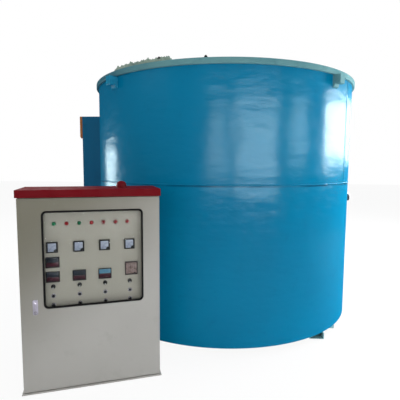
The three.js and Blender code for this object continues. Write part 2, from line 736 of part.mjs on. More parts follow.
function terminalBox() {
  const inner = terminalHalf - TERMINAL_SHEET;
  const [bottom, top] = [TERMINAL_BOX_BOTTOM, terminalTop];
  const outside = join(
    block(terminalSeat, -shellInner, -terminalHalf, terminalHalf, bottom, top),
    block(terminalFace, -shellInner, -terminalHalf, terminalHalf, boardBottom, top),
  );
  const cavity = block(
    terminalSeat + TERMINAL_SHEET,
    -shellInner + OVERRUN,
    -inner,
    inner,
    bottom + TERMINAL_SHEET,
    top - TERMINAL_SHEET,
  );
  const mouth = block(
    terminalFace - OVERRUN,
    -SHELL_RADIUS,
    TERMINAL_LIP - terminalHalf,
    terminalHalf - TERMINAL_LIP,
    bottom + TERMINAL_LIP,
    top - TERMINAL_LIP,
  );
  const glandX = (terminalSeat - SHELL_RADIUS) / 2;
  const gland = uprightRod(GLAND_RADIUS, glandX, 0, bottom - GLAND_LENGTH, bottom + TERMINAL_SHEET);
  const body = cut(join(outside, gland), cavity, mouth, shellSeat());
  const barrels = coverHingeHeights.flatMap((z) => [
    uprightRod(TERMINAL_HINGE_RADIUS, coverHinge.x, coverHinge.y, z - TERMINAL_HINGE_BARREL, z),
    uprightRod(
      TERMINAL_HINGE_PIN_RADIUS,
      coverHinge.x,
      coverHinge.y,
      z - TERMINAL_HINGE_BARREL / 2,
      z + TERMINAL_HINGE_BARREL - TERMINAL_SHEET,
    ),
    block(
      coverHinge.x,
      terminalSeat + TERMINAL_HINGE_LEAF,
      terminalHalf + CLEARANCE,
      coverHinge.y,
      z - TERMINAL_HINGE_BARREL,
      z,
    ),
    block(
      terminalSeat,
      terminalSeat + TERMINAL_HINGE_LEAF,
      terminalHalf - TERMINAL_SHEET / 2,
      coverHinge.y,
      z - TERMINAL_HINGE_BARREL,
      z,
    ),
  ]);
  return join(body, ...barrels);
}

function terminalCover() {
  const seat = terminalSeat - CLEARANCE;
  const [bottom, top] = [TERMINAL_BOX_BOTTOM, coverTop];
  const sheet = TERMINAL_COVER_SHEET;
  const pan = cut(
    block(terminalFace, seat, -terminalHalf, terminalHalf, bottom, top),
    block(
      terminalFace + sheet,
      seat + OVERRUN,
      sheet - terminalHalf,
      terminalHalf - sheet,
      bottom + sheet,
      top - sheet,
    ),
  );
  const knuckles = coverHingeHeights.flatMap((z) => {
    const [low, high] = [z + CLEARANCE, z + TERMINAL_HINGE_BARREL];
    return [
      uprightRod(TERMINAL_HINGE_RADIUS, coverHinge.x, coverHinge.y, low, high),
      block(
        terminalFace + sheet / 2,
        coverHinge.x,
        terminalHalf - sheet / 2,
        coverHinge.y,
        low,
        high,
      ),
    ];
  });
  const bores = coverHingeHeights.map((z) =>
    uprightRod(
      TERMINAL_HINGE_PIN_RADIUS + 2 * CLEARANCE,
      coverHinge.x,
      coverHinge.y,
      z - OVERRUN,
      z + TERMINAL_HINGE_BARREL + OVERRUN,
    ),
  );
  return cut(join(pan, ...knuckles), ...bores);
}

function terminalBoard() {
  const [front, back] = [terminalFace - TERMINAL_BOARD_THICKNESS, terminalFace - CLEARANCE];
  const side = polygon([
    [back, boardBottom],
    [back, terminalTop],
    [front, terminalTop],
    [front, boardBottom + TERMINAL_BOARD_CHAMFER],
    [(front + back) / 2, boardBottom],
  ]);
  return extrude(side, TERMINAL_BOX_WIDTH).rotateX(Math.PI / 2).translate(0, terminalHalf, 0);
}

// Lid

function lidPlate() {
  const plate = ring(0, lidRadius, sealTop, lidTop);
  const boss = ring(0, LID_BOSS_RADIUS, lidTop - LID_PLATE_THICKNESS / 2, bossTop, LID_BOSS_SIDES);
  const rib = polygon([
    [0, lidTop - LID_PLATE_THICKNESS / 2],
    [lidRadius - LID_RIB_INSET, lidTop - LID_PLATE_THICKNESS / 2],
    [lidRadius - LID_RIB_INSET, lidTop + LID_RIB_TIP_HEIGHT],
    [LID_BOSS_RADIUS, lidTop + LID_RIB_ROOT_HEIGHT],
    [0, lidTop + LID_RIB_ROOT_HEIGHT],
  ]);
  const ribs = Array.from({ length: LID_RIBS }, (_, i) =>
    extrude(rib, LID_RIB_THICKNESS)
      .rotateX(Math.PI / 2)
      .translate(0, LID_RIB_THICKNESS / 2, 0)
      .rotateZ(((2 * i + 1) * Math.PI) / LID_RIBS),
  );
  return join(plate, boss, ...ribs);
}

function lidPlug() {
  const radius = chamberRadius - PLUG_CLEARANCE;
  return revolve([
    [0, plugBottom],
    [radius - PLUG_CHAMFER, plugBottom],
    [radius, plugBottom + PLUG_CHAMFER],
    [radius, sealTop],
    [0, sealTop],
  ]);
}

function liftingEye() {
  const outline = new THREE.Shape();
  outline.moveTo(-EYE_WIDTH / 2, 0);
  outline.lineTo(EYE_WIDTH / 2, 0);
  outline.absarc(0, EYE_CENTRE_HEIGHT, EYE_TOP_RADIUS, 0, Math.PI, false);
  outline.holes.push(new THREE.Path(circlePoints(0, EYE_CENTRE_HEIGHT, EYE_HOLE_RADIUS, KNOB_SIDES)));
  return extrude(outline, EYE_THICKNESS, KNOB_SIDES / 2)
    .rotateX(Math.PI / 2)
    .translate(0, EYE_THICKNESS / 2, bossTop);
}

function makeFurnace() {
  const furnace = new THREE.Group();
  const add = (name, geometry, material) => piece(furnace, name, geometry, material);
  add("base_frame", baseFrame(), FINISHES.framePaint);
  add("bottom_plate", ring(0, shellInner - CLEARANCE, shellBase, bottomPlateTop), FINISHES.framePaint);
  add("shell", shellPlate(), FINISHES.bluePaint);
  add("mouth_flange", mouthFlange(), FINISHES.flangePaint);
  for (const [place, azimuth] of Object.entries(LUG_AZIMUTHS))
    add("lifting_lug_" + place, liftingLug(azimuth), FINISHES.bluePaint);
  add("wall_insulation", wallInsulation(), FINISHES.fibre);
  add("floor_bricks", ring(0, brickOuter - CLEARANCE, brickBase, floorTop), FINISHES.brick);
  add("brick_lining", brickLining(), FINISHES.brick);
  add("hearth_plate", hearthPlate(), FINISHES.castIron);
  ZONES.forEach((zone, i) => {
    add("heating_element_" + zone, heatingElement(i), FINISHES.element);
    add("lead_block_" + zone, leadBlock(i), FINISHES.ceramic);
    add("thermocouple_" + zone, thermocouple(i), FINISHES.aluminium);
  });
  add("terminal_box", terminalBox(), FINISHES.bluePaint);
  add("terminal_cover", terminalCover(), FINISHES.bluePaint);
  add("terminal_board", terminalBoard(), FINISHES.board);
  add("lid_seal", ring(sealInner, sealOuter, flangeTop, sealTop), FINISHES.fibre);
  add("lid_plate", lidPlate(), FINISHES.bluePaint);
  add("lid_plug", lidPlug(), FINISHES.fibre);
  add("lid_lifting_eye", liftingEye(), FINISHES.steel);
  return furnace;
}

// Cabinet

const bodyFront = DOOR_THICKNESS + DOOR_GAP;
const bodyBottom = BASE_THICKNESS + CLEARANCE;
const bodyTop = CABINET_HEIGHT - CAP_HEIGHT;
const capBottom = bodyTop + CLEARANCE;
const doorBottom = BASE_THICKNESS + DOOR_FLOOR_GAP;
const doorTop = bodyTop - DOOR_CAP_GAP;
const doorAxis = { x: CABINET_WIDTH - DOOR_AXIS_INSET, y: DOOR_THICKNESS - DOOR_AXIS_INSET };
const doorPinHole = DOOR_PIN_RADIUS + DOOR_PIN_CLEARANCE;
const panelBack = PANEL_DEPTH + PANEL_SHEET;
const windowRight = CABINET_WIDTH - WINDOW_RIGHT_MARGIN;
const windowTop = CABINET_HEIGHT - WINDOW_TOP_MARGIN;
const windowBottom = windowTop - WINDOW_HEIGHT;
const lockZ = windowBottom + LOCK_RISE;

function cabinetBody() {
  const sheet = CABINET_SHEET;
  const shell = cut(
    block(0, CABINET_WIDTH, bodyFront, CABINET_DEPTH, bodyBottom, bodyTop),
    block(
      sheet,
      CABINET_WIDTH - sheet,
      bodyFront + sheet,
      CABINET_DEPTH - sheet,
      bodyBottom + sheet,
      bodyTop - sheet,
    ),
    block(
      CABINET_LIP,
      CABINET_WIDTH - CABINET_LIP,
      bodyFront - OVERRUN,
      bodyFront + sheet + OVERRUN,
      bodyBottom + CABINET_LIP,
      bodyTop - CABINET_LIP,
    ),
  );
  const glands = CABINET_GLAND_SHARES.map((share) =>
    depthRod(
      GLAND_RADIUS,
      share * CABINET_WIDTH,
      bodyBottom + CABINET_GLAND_RISE,
      CABINET_DEPTH - sheet,
      CABINET_DEPTH + GLAND_LENGTH,
    ),
  );
  return join(shell, ...glands);
}

function cabinetBase() {
  const plate = block(
    -BASE_OVERHANG,
    CABINET_WIDTH + BASE_OVERHANG,
    -BASE_OVERHANG,
    CABINET_DEPTH + BASE_OVERHANG,
    0,
    BASE_THICKNESS,
  );
  return cut(plate, uprightRod(doorPinHole, doorAxis.x, doorAxis.y, -OVERRUN, BASE_THICKNESS + OVERRUN));
}

function cabinetCap() {
  const sheet = CABINET_SHEET;
  const [left, right] = [-CAP_OVERHANG, CABINET_WIDTH + CAP_OVERHANG];
  const [front, back] = [-CAP_OVERHANG, CABINET_DEPTH + CAP_OVERHANG];
  return cut(
    block(left, right, front, back, capBottom, CABINET_HEIGHT),
    block(
      left + sheet,
      right - sheet,
      front + sheet,
      back - sheet,
      capBottom + sheet,
      CABINET_HEIGHT - sheet,
    ),
    block(
      left + CAP_RETURN,
      right - CAP_RETURN,
      front + CAP_RETURN,
      back - CAP_RETURN,
      capBottom - OVERRUN,
      capBottom + sheet + OVERRUN,
    ),
    uprightRod(doorPinHole, doorAxis.x, doorAxis.y, capBottom - OVERRUN, capBottom + sheet + OVERRUN),
  );
}

function capBeacon() {
  const base = CABINET_HEIGHT + CLEARANCE;
  const domeHeight = BEACON_HEIGHT - BEACON_BASE_HEIGHT;
  const dome = Array.from({ length: BEACON_DOME_STEPS + 1 }, (_, i) => {
    const angle = (i / BEACON_DOME_STEPS) * (Math.PI / 2);
    const radius = i < BEACON_DOME_STEPS ? BEACON_RADIUS * Math.cos(angle) : 0;
    return [radius, base + BEACON_BASE_HEIGHT + domeHeight * Math.sin(angle)];
  });
  return revolve([[0, base], [BEACON_RADIUS, base], ...dome], 2 * KNOB_SIDES).translate(
    BEACON_PLACE_SHARE * CABINET_WIDTH,
    CABINET_DEPTH / 2,
    0,
  );
}

// The window's outline, drawn in from the gasket's outer edge by inset.
function windowOutline(inset) {
  const radius = WINDOW_CORNER_RADIUS - inset;
  const [left, right] = [WINDOW_LEFT + inset, windowRight - inset];
  const [bottom, top] = [windowBottom + inset, windowTop - inset];
  const corners = [
    [right - radius, top - radius],
    [left + radius, top - radius],
    [left + radius, bottom + radius],
    [right - radius, bottom + radius],
  ];
  return corners.flatMap(([x, z], corner) =>
    Array.from({ length: WINDOW_CORNER_STEPS + 1 }, (_, i) => {
      const angle = (corner + i / WINDOW_CORNER_STEPS) * (Math.PI / 2);
      return new THREE.Vector2(x + radius * Math.cos(angle), z + radius * Math.sin(angle));
    }),
  );
}

// A plate across the door, between two depths.
function windowSolid(inset, front, back) {
  return extrude(new THREE.Shape(windowOutline(inset)), back - front)
    .rotateX(Math.PI / 2)
    .translate(0, back, 0);
}

const gasketSeat = GASKET_WIDTH / 2; // from the gasket's outer edge in to the door's cut-out
const glassInset = gasketSeat + CLEARANCE + GASKET_WEB + CLEARANCE;
const lockHole = LOCK_BOSS_RADIUS + CLEARANCE;
const spindleZ = lockZ + LOCK_SPINDLE_RISE;

function cabinetDoor() {
  const sheet = DOOR_SHEET;
  const pan = cut(
    block(0, CABINET_WIDTH, 0, DOOR_THICKNESS, doorBottom, doorTop),
    block(
      sheet,
      CABINET_WIDTH - 2 * DOOR_AXIS_INSET,
      sheet,
      DOOR_THICKNESS + OVERRUN,
      doorBottom + sheet,
      doorTop - sheet,
    ),
    windowSolid(gasketSeat, -OVERRUN, sheet + OVERRUN),
    depthRod(lockHole, LOCK_X, spindleZ, -OVERRUN, sheet + OVERRUN),
  );
  const pins = [
    uprightRod(DOOR_PIN_RADIUS, doorAxis.x, doorAxis.y, CLEARANCE, doorBottom + OVERRUN),
    uprightRod(DOOR_PIN_RADIUS, doorAxis.x, doorAxis.y, doorTop - OVERRUN, capBottom + CABINET_SHEET),
  ];
  return join(pan, ...pins);
}

// The rubber section grips the door's edge outside and the glass inside.
function windowGasket() {
  const lipBack = -CLEARANCE;
  const webBack = DOOR_SHEET + CLEARANCE + GASKET_LIP;
  const web = gasketSeat + CLEARANCE;
  const glassBack = GLASS_THICKNESS + CLEARANCE;
  return join(
    cut(
      windowSolid(0, -GASKET_LIP, lipBack),
      windowSolid(GASKET_WIDTH, -GASKET_LIP - OVERRUN, lipBack + OVERRUN),
    ),
    cut(
      windowSolid(web, -GASKET_LIP, glassBack + GASKET_LIP),
      windowSolid(web + GASKET_WEB, -GASKET_LIP - OVERRUN, glassBack + GASKET_LIP + OVERRUN),
    ),
    cut(
      windowSolid(web, glassBack, glassBack + GASKET_LIP),
      windowSolid(GASKET_WIDTH, glassBack - OVERRUN, glassBack + GASKET_LIP + OVERRUN),
    ),
    cut(
      windowSolid(0, webBack - GASKET_LIP, webBack),
      windowSolid(web + GASKET_WEB / 2, webBack - GASKET_LIP - OVERRUN, webBack + OVERRUN),
    ),
  );
}

// Lock: plate with its boss, spindle with its cam, and lever

const plateFront = -CLEARANCE - LOCK_PLATE_THICKNESS;
const leverBack = plateFront - LEVER_GAP;
const leverAxisY = leverBack - LEVER_THICKNESS / 2;
const camFront = bodyFront + CABINET_SHEET + CAM_GAP;
const bossBack = DOOR_THICKNESS;

function lockPlate() {
  const [w, h, r] = [LOCK_PLATE_WIDTH / 2, LOCK_PLATE_HEIGHT / 2, LOCK_PLATE_CORNER];
  const outline = polygon([
    [w - r, -h],
    [w, r - h],
    [w, h - r],
    [w - r, h],
    [r - w, h],
    [-w, h - r],
    [-w, r - h],
    [r - w, -h],
  ]);
  const plate = extrude(outline, LOCK_PLATE_THICKNESS)
    .rotateX(Math.PI / 2)
    .translate(LOCK_X, -CLEARANCE, lockZ);
  const boss = depthRod(LOCK_BOSS_RADIUS, LOCK_X, spindleZ, plateFront + CLEARANCE, bossBack);
  const nut = depthRod(
    LOCK_NUT_RADIUS,
    LOCK_X,
    spindleZ,
    DOOR_SHEET + CLEARANCE,
    DOOR_SHEET + CLEARANCE + LOCK_PLATE_THICKNESS,
    NUT_SIDES,
  );
  const key = depthRod(
    LOCK_KEY_RADIUS,
    LOCK_X,
    lockZ - LOCK_KEY_DROP,
    plateFront - LOCK_KEY_PROUD,
    plateFront + LOCK_PLATE_THICKNESS / 2,
  );
  const bore = depthRod(
    LOCK_SPINDLE_RADIUS + 2 * CLEARANCE,
    LOCK_X,
    spindleZ,
    plateFront - OVERRUN,
    bossBack + OVERRUN,
  );
  return cut(join(plate, boss, nut, key), bore);
}

// The spindle turns in the plate's boss. Its tongue carries the lever, and its cam swings behind the lip.
function lockCam() {
  const spindle = depthRod(
    LOCK_SPINDLE_RADIUS,
    LOCK_X,
    spindleZ,
    leverBack + CLEARANCE,
    camFront + CAM_THICKNESS,
  );
  const tongue = block(
    LOCK_X - LEVER_SLOT / 2 + CLEARANCE,
    LOCK_X + LEVER_SLOT / 2 - CLEARANCE,
    leverAxisY - LEVER_THICKNESS / 2 + CLEARANCE,
    leverBack + OVERRUN / 2,
    spindleZ - LOCK_TONGUE_HEIGHT / 2,
    spindleZ + LOCK_TONGUE_HEIGHT / 2,
  );
  const pinHole = new THREE.CylinderGeometry(
    LEVER_PIN_RADIUS + CLEARANCE,
    LEVER_PIN_RADIUS + CLEARANCE,
    LEVER_WIDTH,
    ROD_SIDES,
  )
    .rotateZ(Math.PI / 2)
    .translate(LOCK_X, leverAxisY, spindleZ);
  const arm = block(
    LOCK_X - CAM_WIDTH / 2,
    LOCK_X + CAM_WIDTH / 2,
    camFront,
    camFront + CAM_THICKNESS,
    spindleZ - CAM_LENGTH,
    spindleZ + CAM_WIDTH / 2,
  );
  return join(cut(join(spindle, tongue), pinHole), arm);
}

// The lever hangs from its pin, round behind it so that it can tilt out.
function lockLever() {
  const half = LEVER_THICKNESS / 2;
  const side = new THREE.Shape();
  side.moveTo(leverAxisY - half, spindleZ - LEVER_LENGTH);
  side.lineTo(leverAxisY + half, spindleZ - LEVER_LENGTH);
  side.lineTo(leverAxisY + half, spindleZ);
  side.absarc(leverAxisY, spindleZ, half, 0, Math.PI, false);
  const bar = extrude(side, LEVER_WIDTH)
    .rotateX(Math.PI / 2)
    .rotateZ(Math.PI / 2)
    .translate(LOCK_X - LEVER_WIDTH / 2, 0, 0);
  const slot = block(
    LOCK_X - LEVER_SLOT / 2,
    LOCK_X + LEVER_SLOT / 2,
    leverAxisY - LEVER_THICKNESS,
    leverAxisY + LEVER_THICKNESS,
    spindleZ - 2 * LOCK_SPINDLE_RADIUS,
    spindleZ + LEVER_THICKNESS,
  );
  const pin = new THREE.CylinderGeometry(
    LEVER_PIN_RADIUS,
    LEVER_PIN_RADIUS,
    LEVER_WIDTH - CLEARANCE,
    ROD_SIDES,
  )
    .rotateZ(Math.PI / 2)
    .translate(LOCK_X, leverAxisY, spindleZ);
  return join(cut(bar, slot), pin);
}

// Instrument panel and its instruments

// One of a row's places, from its first to its last.
const along = (first, last, count, i) => first + (i * (last - first)) / (count - 1);

const columnX = (column) =>
  along(WINDOW_LEFT + COLUMN_LEFT_MARGIN, windowRight - COLUMN_RIGHT_MARGIN, COLUMN_COUNT, column);
const columns = Array.from({ length: COLUMN_COUNT }, (_, i) => i);
const lampX = (lamp) =>
  along(WINDOW_LEFT + LAMP_LEFT_MARGIN, windowRight - LAMP_RIGHT_MARGIN, LAMP_COUNT, lamp);
const lampZ = windowTop - LAMP_DROP;
const meterZ = windowTop - METER_DROP;
const controllers = [
  [columnX(0), windowTop - CONTROLLER_UPPER_DROP],
  [columnX(0), windowTop - CONTROLLER_DROP],
  [columnX(1), windowTop - CONTROLLER_DROP],
  [columnX(2), windowTop - CONTROLLER_DROP],
];
const recorderX = columnX(COLUMN_COUNT - 1) + RECORDER_SHIFT;
const recorderZ = windowTop - RECORDER_DROP;
const selectorZ = windowTop - SELECTOR_DROP;
const buttonRows = { start: windowTop - BUTTON_DROPS.start, stop: windowTop - BUTTON_DROPS.stop };

// An instrument's case, grown all round by a margin.
const caseSize = (size) => size - 2 * CASE_INSET;

function caseBlock(x, z, width, height, front, back, margin = 0) {
  const [w, h] = [caseSize(width) / 2 + margin, caseSize(height) / 2 + margin];
  return block(x - w, x + w, front, back, z - h, z + h);
}

function instrumentPanel() {
  const margin = CABINET_SHEET + CLEARANCE;
  const [left, right] = [margin, CABINET_WIDTH - margin];
  const [bottom, top] = [bodyBottom + margin, bodyTop - margin];
  const through = [PANEL_DEPTH - OVERRUN, panelBack + OVERRUN];
  // Clear across its flats, so that a shaft's corners turn in it.
  const roundHole = (x, z, radius, sides) =>
    depthRod((radius + CLEARANCE) / Math.cos(Math.PI / sides), x, z, ...through, sides);
  const caseHole = (x, z, width, height) => caseBlock(x, z, width, height, ...through, CLEARANCE);
  const holes = [
    ...columns.map((i) => roundHole(columnX(i), meterZ, METER_CAN_RADIUS, KNOB_SIDES)),
    ...controllers.map(([x, z]) => caseHole(x, z, CONTROLLER_WIDTH, CONTROLLER_HEIGHT)),
    caseHole(recorderX, recorderZ, RECORDER_WIDTH, RECORDER_HEIGHT),
    ...columns.flatMap((i) =>
      [selectorZ, ...Object.values(buttonRows)].map((z) =>
        roundHole(columnX(i), z, SHAFT_RADIUS, ROD_SIDES),
      ),
    ),
  ];
  const sheet = cut(block(left, right, PANEL_DEPTH, panelBack, bottom, top), ...holes);
  const rimBack = PANEL_DEPTH + PANEL_RIM_DEPTH;
  const rim = cut(
    block(left, right, PANEL_DEPTH, rimBack, bottom, top),
    block(
      left + PANEL_SHEET,
      right - PANEL_SHEET,
      PANEL_DEPTH - OVERRUN,
      rimBack + OVERRUN,
      bottom + PANEL_SHEET,
      top - PANEL_SHEET,
    ),
  );
  const rimFront = PANEL_DEPTH - LAMP_RIM;
  const lensFront = rimFront - LAMP_LENS_LENGTH;
  const seat = PANEL_DEPTH + PANEL_SHEET / 2;
  const lamps = Array.from({ length: LAMP_COUNT }, (_, i) => lampX(i)).flatMap((x) => [
    depthRod(LAMP_RADIUS, x, lampZ, rimFront, seat, ROD_SIDES),
    depthRod(LAMP_LENS_RADIUS, x, lampZ, lensFront, PANEL_DEPTH, ROD_SIDES),
  ]);
  const collars = columns.flatMap((i) =>
    Object.values(buttonRows).map((z) =>
      cut(
        depthRod(
          COLLAR_RADIUS,
          columnX(i),
          z,
          PANEL_DEPTH - COLLAR_HEIGHT,
          seat,
          ROD_SIDES,
        ),
        depthRod(
          BUTTON_RADIUS + CLEARANCE,
          columnX(i),
          z,
          PANEL_DEPTH - COLLAR_HEIGHT - OVERRUN,
          PANEL_DEPTH + OVERRUN,
          ROD_SIDES,
        ),
      ),
    ),
  );
  return join(sheet, rim, ...lamps, ...collars);
}

function panelMeter(column) {
  const x = columnX(column);
  const half = METER_SIZE / 2;
  const back = PANEL_DEPTH - CLEARANCE;
  return join(
    block(x - half, x + half, PANEL_DEPTH - METER_BEZEL, back, meterZ - half, meterZ + half),
    depthRod(METER_CAN_RADIUS, x, meterZ, back - METER_BEZEL / 2, PANEL_DEPTH + METER_CAN_LENGTH),
  );
}

// An instrument with a rectangular bezel and a case behind the panel.
function caseInstrument(x, z, width, height) {
  const back = PANEL_DEPTH - CLEARANCE;
  return join(
    block(
      x - width / 2,
      x + width / 2,
      PANEL_DEPTH - CONTROLLER_BEZEL,
      back,
      z - height / 2,
      z + height / 2,
    ),
    caseBlock(x, z, width, height, back - CONTROLLER_BEZEL / 2, PANEL_DEPTH + CONTROLLER_BODY_LENGTH),
  );
}

function selectorKnob(column) {
  const x = columnX(column);
  const skirtBack = PANEL_DEPTH - CLEARANCE;
  const skirtFront = skirtBack - SELECTOR_SKIRT;
  const grip = SELECTOR_GRIP_LENGTH / 2;
  const shaftFront = skirtBack - SELECTOR_SKIRT / 2;
  return join(
    depthRod(SELECTOR_RADIUS, x, selectorZ, skirtFront, skirtBack),
    block(
      x - SELECTOR_GRIP_WIDTH / 2,
      x + SELECTOR_GRIP_WIDTH / 2,
      skirtFront - SELECTOR_GRIP_HEIGHT,
      skirtFront + SELECTOR_SKIRT / 2,
      selectorZ - grip,
      selectorZ + grip,
    ),
    depthRod(SHAFT_RADIUS, x, selectorZ, shaftFront, PANEL_DEPTH + SHAFT_LENGTH, ROD_SIDES),
  );
}

function pushButton(column, z) {
  const x = columnX(column);
  const front = PANEL_DEPTH - COLLAR_HEIGHT - BUTTON_PROUD;
  const back = PANEL_DEPTH - BUTTON_TRAVEL - CLEARANCE;
  return join(
    depthRod(BUTTON_RADIUS, x, z, front, back, ROD_SIDES),
    depthRod(SHAFT_RADIUS, x, z, back - COLLAR_HEIGHT / 2, PANEL_DEPTH + SHAFT_LENGTH, ROD_SIDES),
  );
}

function makeCabinet() {
  const cabinet = new THREE.Group();
  const add = (name, geometry, material) => piece(cabinet, name, geometry, material);
  add("cabinet_base", cabinetBase(), FINISHES.greyPaint);
  add("cabinet_body", cabinetBody(), FINISHES.greyPaint);
  add("cabinet_cap", cabinetCap(), FINISHES.redPaint);
  add("cap_beacon", capBeacon(), FINISHES.redLens);
  add("cabinet_door", cabinetDoor(), FINISHES.greyPaint);
  add("window_gasket", windowGasket(), FINISHES.rubber);
  add("window_glass", windowSolid(glassInset, 0, GLASS_THICKNESS), FINISHES.glass);
  add("lock_plate", lockPlate(), FINISHES.chrome);
  add("lock_cam", lockCam(), FINISHES.steel);
  add("lock_lever", lockLever(), FINISHES.chrome);
  add("instrument_panel", instrumentPanel(), FINISHES.panelPaint);
  const { start, stop } = buttonRows;
  for (const column of columns) {
    const number = column + 1;
    add("panel_meter_" + number, panelMeter(column), FINISHES.meterFace);
    add("selector_knob_" + number, selectorKnob(column), FINISHES.black);
    add("start_button_" + number, pushButton(column, start), FINISHES.black);
    add("stop_button_" + number, pushButton(column, stop), FINISHES.black);
  }
  controllers.forEach(([x, z], i) => {
    const geometry = caseInstrument(x, z, CONTROLLER_WIDTH, CONTROLLER_HEIGHT);
    add("controller_" + (i + 1), geometry, FINISHES.black);
  });
  add(
    "chart_recorder",
    caseInstrument(recorderX, recorderZ, RECORDER_WIDTH, RECORDER_HEIGHT),
    FINISHES.recorder,
  );
  const turn = CABINET_ANGLE * DEGREE;
  const reach = SHELL_RADIUS + CABINET_STANDOFF;
  const azimuth = CABINET_AZIMUTH * DEGREE;
  cabinet.position.set(
    reach * Math.sin(azimuth) - CABINET_WIDTH * Math.cos(turn),
    -reach * Math.cos(azimuth) - CABINET_WIDTH * Math.sin(turn),
    0,
  );
  cabinet.rotation.z = turn;
  return cabinet;
}

const group = new THREE.Group();
group.add(makeFurnace(), makeCabinet());

export default group;
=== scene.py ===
"""The pit furnace and its control cabinet, dressed for the eye. Every length is in metres."""
import logging
import math
from abc import ABC, abstractmethod
from dataclasses import dataclass
from enum import Enum, StrEnum
from functools import cache
from typing import Callable

import bmesh
import bpy
import numpy as np
from mathutils import Matrix, Vector
from mathutils.geometry import delaunay_2d_cdt


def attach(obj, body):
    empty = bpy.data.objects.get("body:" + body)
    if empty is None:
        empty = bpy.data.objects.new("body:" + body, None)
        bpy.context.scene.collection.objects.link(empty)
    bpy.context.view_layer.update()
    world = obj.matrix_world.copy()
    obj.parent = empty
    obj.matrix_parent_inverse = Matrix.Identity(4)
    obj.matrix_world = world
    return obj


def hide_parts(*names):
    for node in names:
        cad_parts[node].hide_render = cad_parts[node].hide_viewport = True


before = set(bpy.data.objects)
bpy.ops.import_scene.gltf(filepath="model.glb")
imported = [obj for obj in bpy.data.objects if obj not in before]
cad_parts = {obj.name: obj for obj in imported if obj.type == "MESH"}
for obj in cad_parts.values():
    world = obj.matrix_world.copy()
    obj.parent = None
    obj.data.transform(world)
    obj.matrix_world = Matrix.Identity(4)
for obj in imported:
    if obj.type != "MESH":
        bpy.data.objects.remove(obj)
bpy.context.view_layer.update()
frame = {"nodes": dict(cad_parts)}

log = logging.getLogger("furnace")

Array = np.ndarray
Pair = tuple[float, float]
Triple = tuple[float, float, float]
Colour = Triple
Socket = bpy.types.NodeSocket

SEAM_GAP = 1e-6
NODE_SEAM_GAP = 1e-5
FLAT_ANGLE = 1.0
SHARP_ANGLE = 38.0
ROUNDED_ANGLE = 34.0
SMOOTH_CORNERS = 4
NODE_SMOOTH_CORNERS = 10000
HOLE_GAP = 1e-7
UP = np.array([0.0, 0.0, 1.0])


# Surfaces


@dataclass(frozen=True)
class Surface:
    """A mesh in the making: its points, and blocks of faces of one corner count each."""

    points: Array
    faces: tuple[Array, ...]

    def mapped(self, change: Callable[[Array], Array]) -> "Surface":
        """The same faces on points that a function of the points has moved."""
        return Surface(change(self.points), self.faces)

    def moved(self, x: float, y: float, z: float) -> "Surface":
        """The surface shifted by a vector."""
        return self.mapped(lambda points: points + np.array([x, y, z]))


def joined(*surfaces: Surface) -> Surface:
    """Several surfaces as one mesh, each face counting on from the points before it.

    Args:
        surfaces: The surfaces, in order.

    Returns:
        One surface.
    """
    starts = np.cumsum([0] + [len(surface.points) for surface in surfaces[:-1]])
    faces = tuple(block + start for surface, start in zip(surfaces, starts) for block in surface.faces)
    return Surface(np.concatenate([surface.points for surface in surfaces]), faces)


def around(radius: Array | float, angle: Array | float, height: Array | float) -> Array:
    """Points about the vertical axis, which lie at (radius * sin angle, -radius * cos angle, height)."""
    return np.stack(np.broadcast_arrays(radius * np.sin(angle), -radius * np.cos(angle), height), -1)


def level(outline: Array, height: float) -> Array:
    """A flat outline's points, each given one height."""
    return np.column_stack([outline, np.full(len(outline), height)])


def grid(points: Array, wrap_rows: bool = False, wrap_columns: bool = True, caps: bool = False) -> Surface:
    """Quads between the neighbours of a grid of points.

    Quad (i, j) joins the points (i, j), (i, j+1), (i+1, j+1) and (i+1, j), so it faces the way
    that the column direction crossed with the row direction points.

    Args:
        points: An array of rows by columns by three.
        wrap_rows: Whether the last row joins the first.
        wrap_columns: Whether the last column joins the first.
        caps: Whether the first and last rows are closed by one face each.

    Returns:
        The surface.
    """
    rows, columns = points.shape[:2]
    index = np.arange(rows * columns).reshape(rows, columns)
    loop = np.vstack([index, index[:1]]) if wrap_rows else index
    if wrap_columns:
        loop = np.hstack([loop, loop[:, :1]])
    quads = np.stack([loop[:-1, :-1], loop[:-1, 1:], loop[1:, 1:], loop[1:, :-1]], -1).reshape(-1, 4)
    ends = (index[:1, ::-1], index[-1:, :]) if caps else ()
    return Surface(points.reshape(-1, 3), (quads, *ends))


def lathe(
    profile: Array, segments: int, closed: bool = False, rows: slice = slice(0),
    flutes: Callable[[Array], Array] = np.ones_like,
) -> Surface:
    """A profile turned about the vertical axis, each point at its radius and height for each angle.

    A profile that runs up its outer side faces outward.

    Args:
        profile: Rows of radius and height.
        segments: Steps of the turn.
        closed: Whether the profile's end joins its start.
        rows: The rows of the profile that are fluted.
        flutes: The factor of their radius at each angle.

    Returns:
        The surface.
    """
    angle = np.linspace(0, 2 * np.pi, segments, endpoint=False)
    radius = profile[:, :1] + 0 * angle
    radius[rows] *= flutes(angle)
    return grid(around(radius, angle, profile[:, 1:]), wrap_rows=closed)


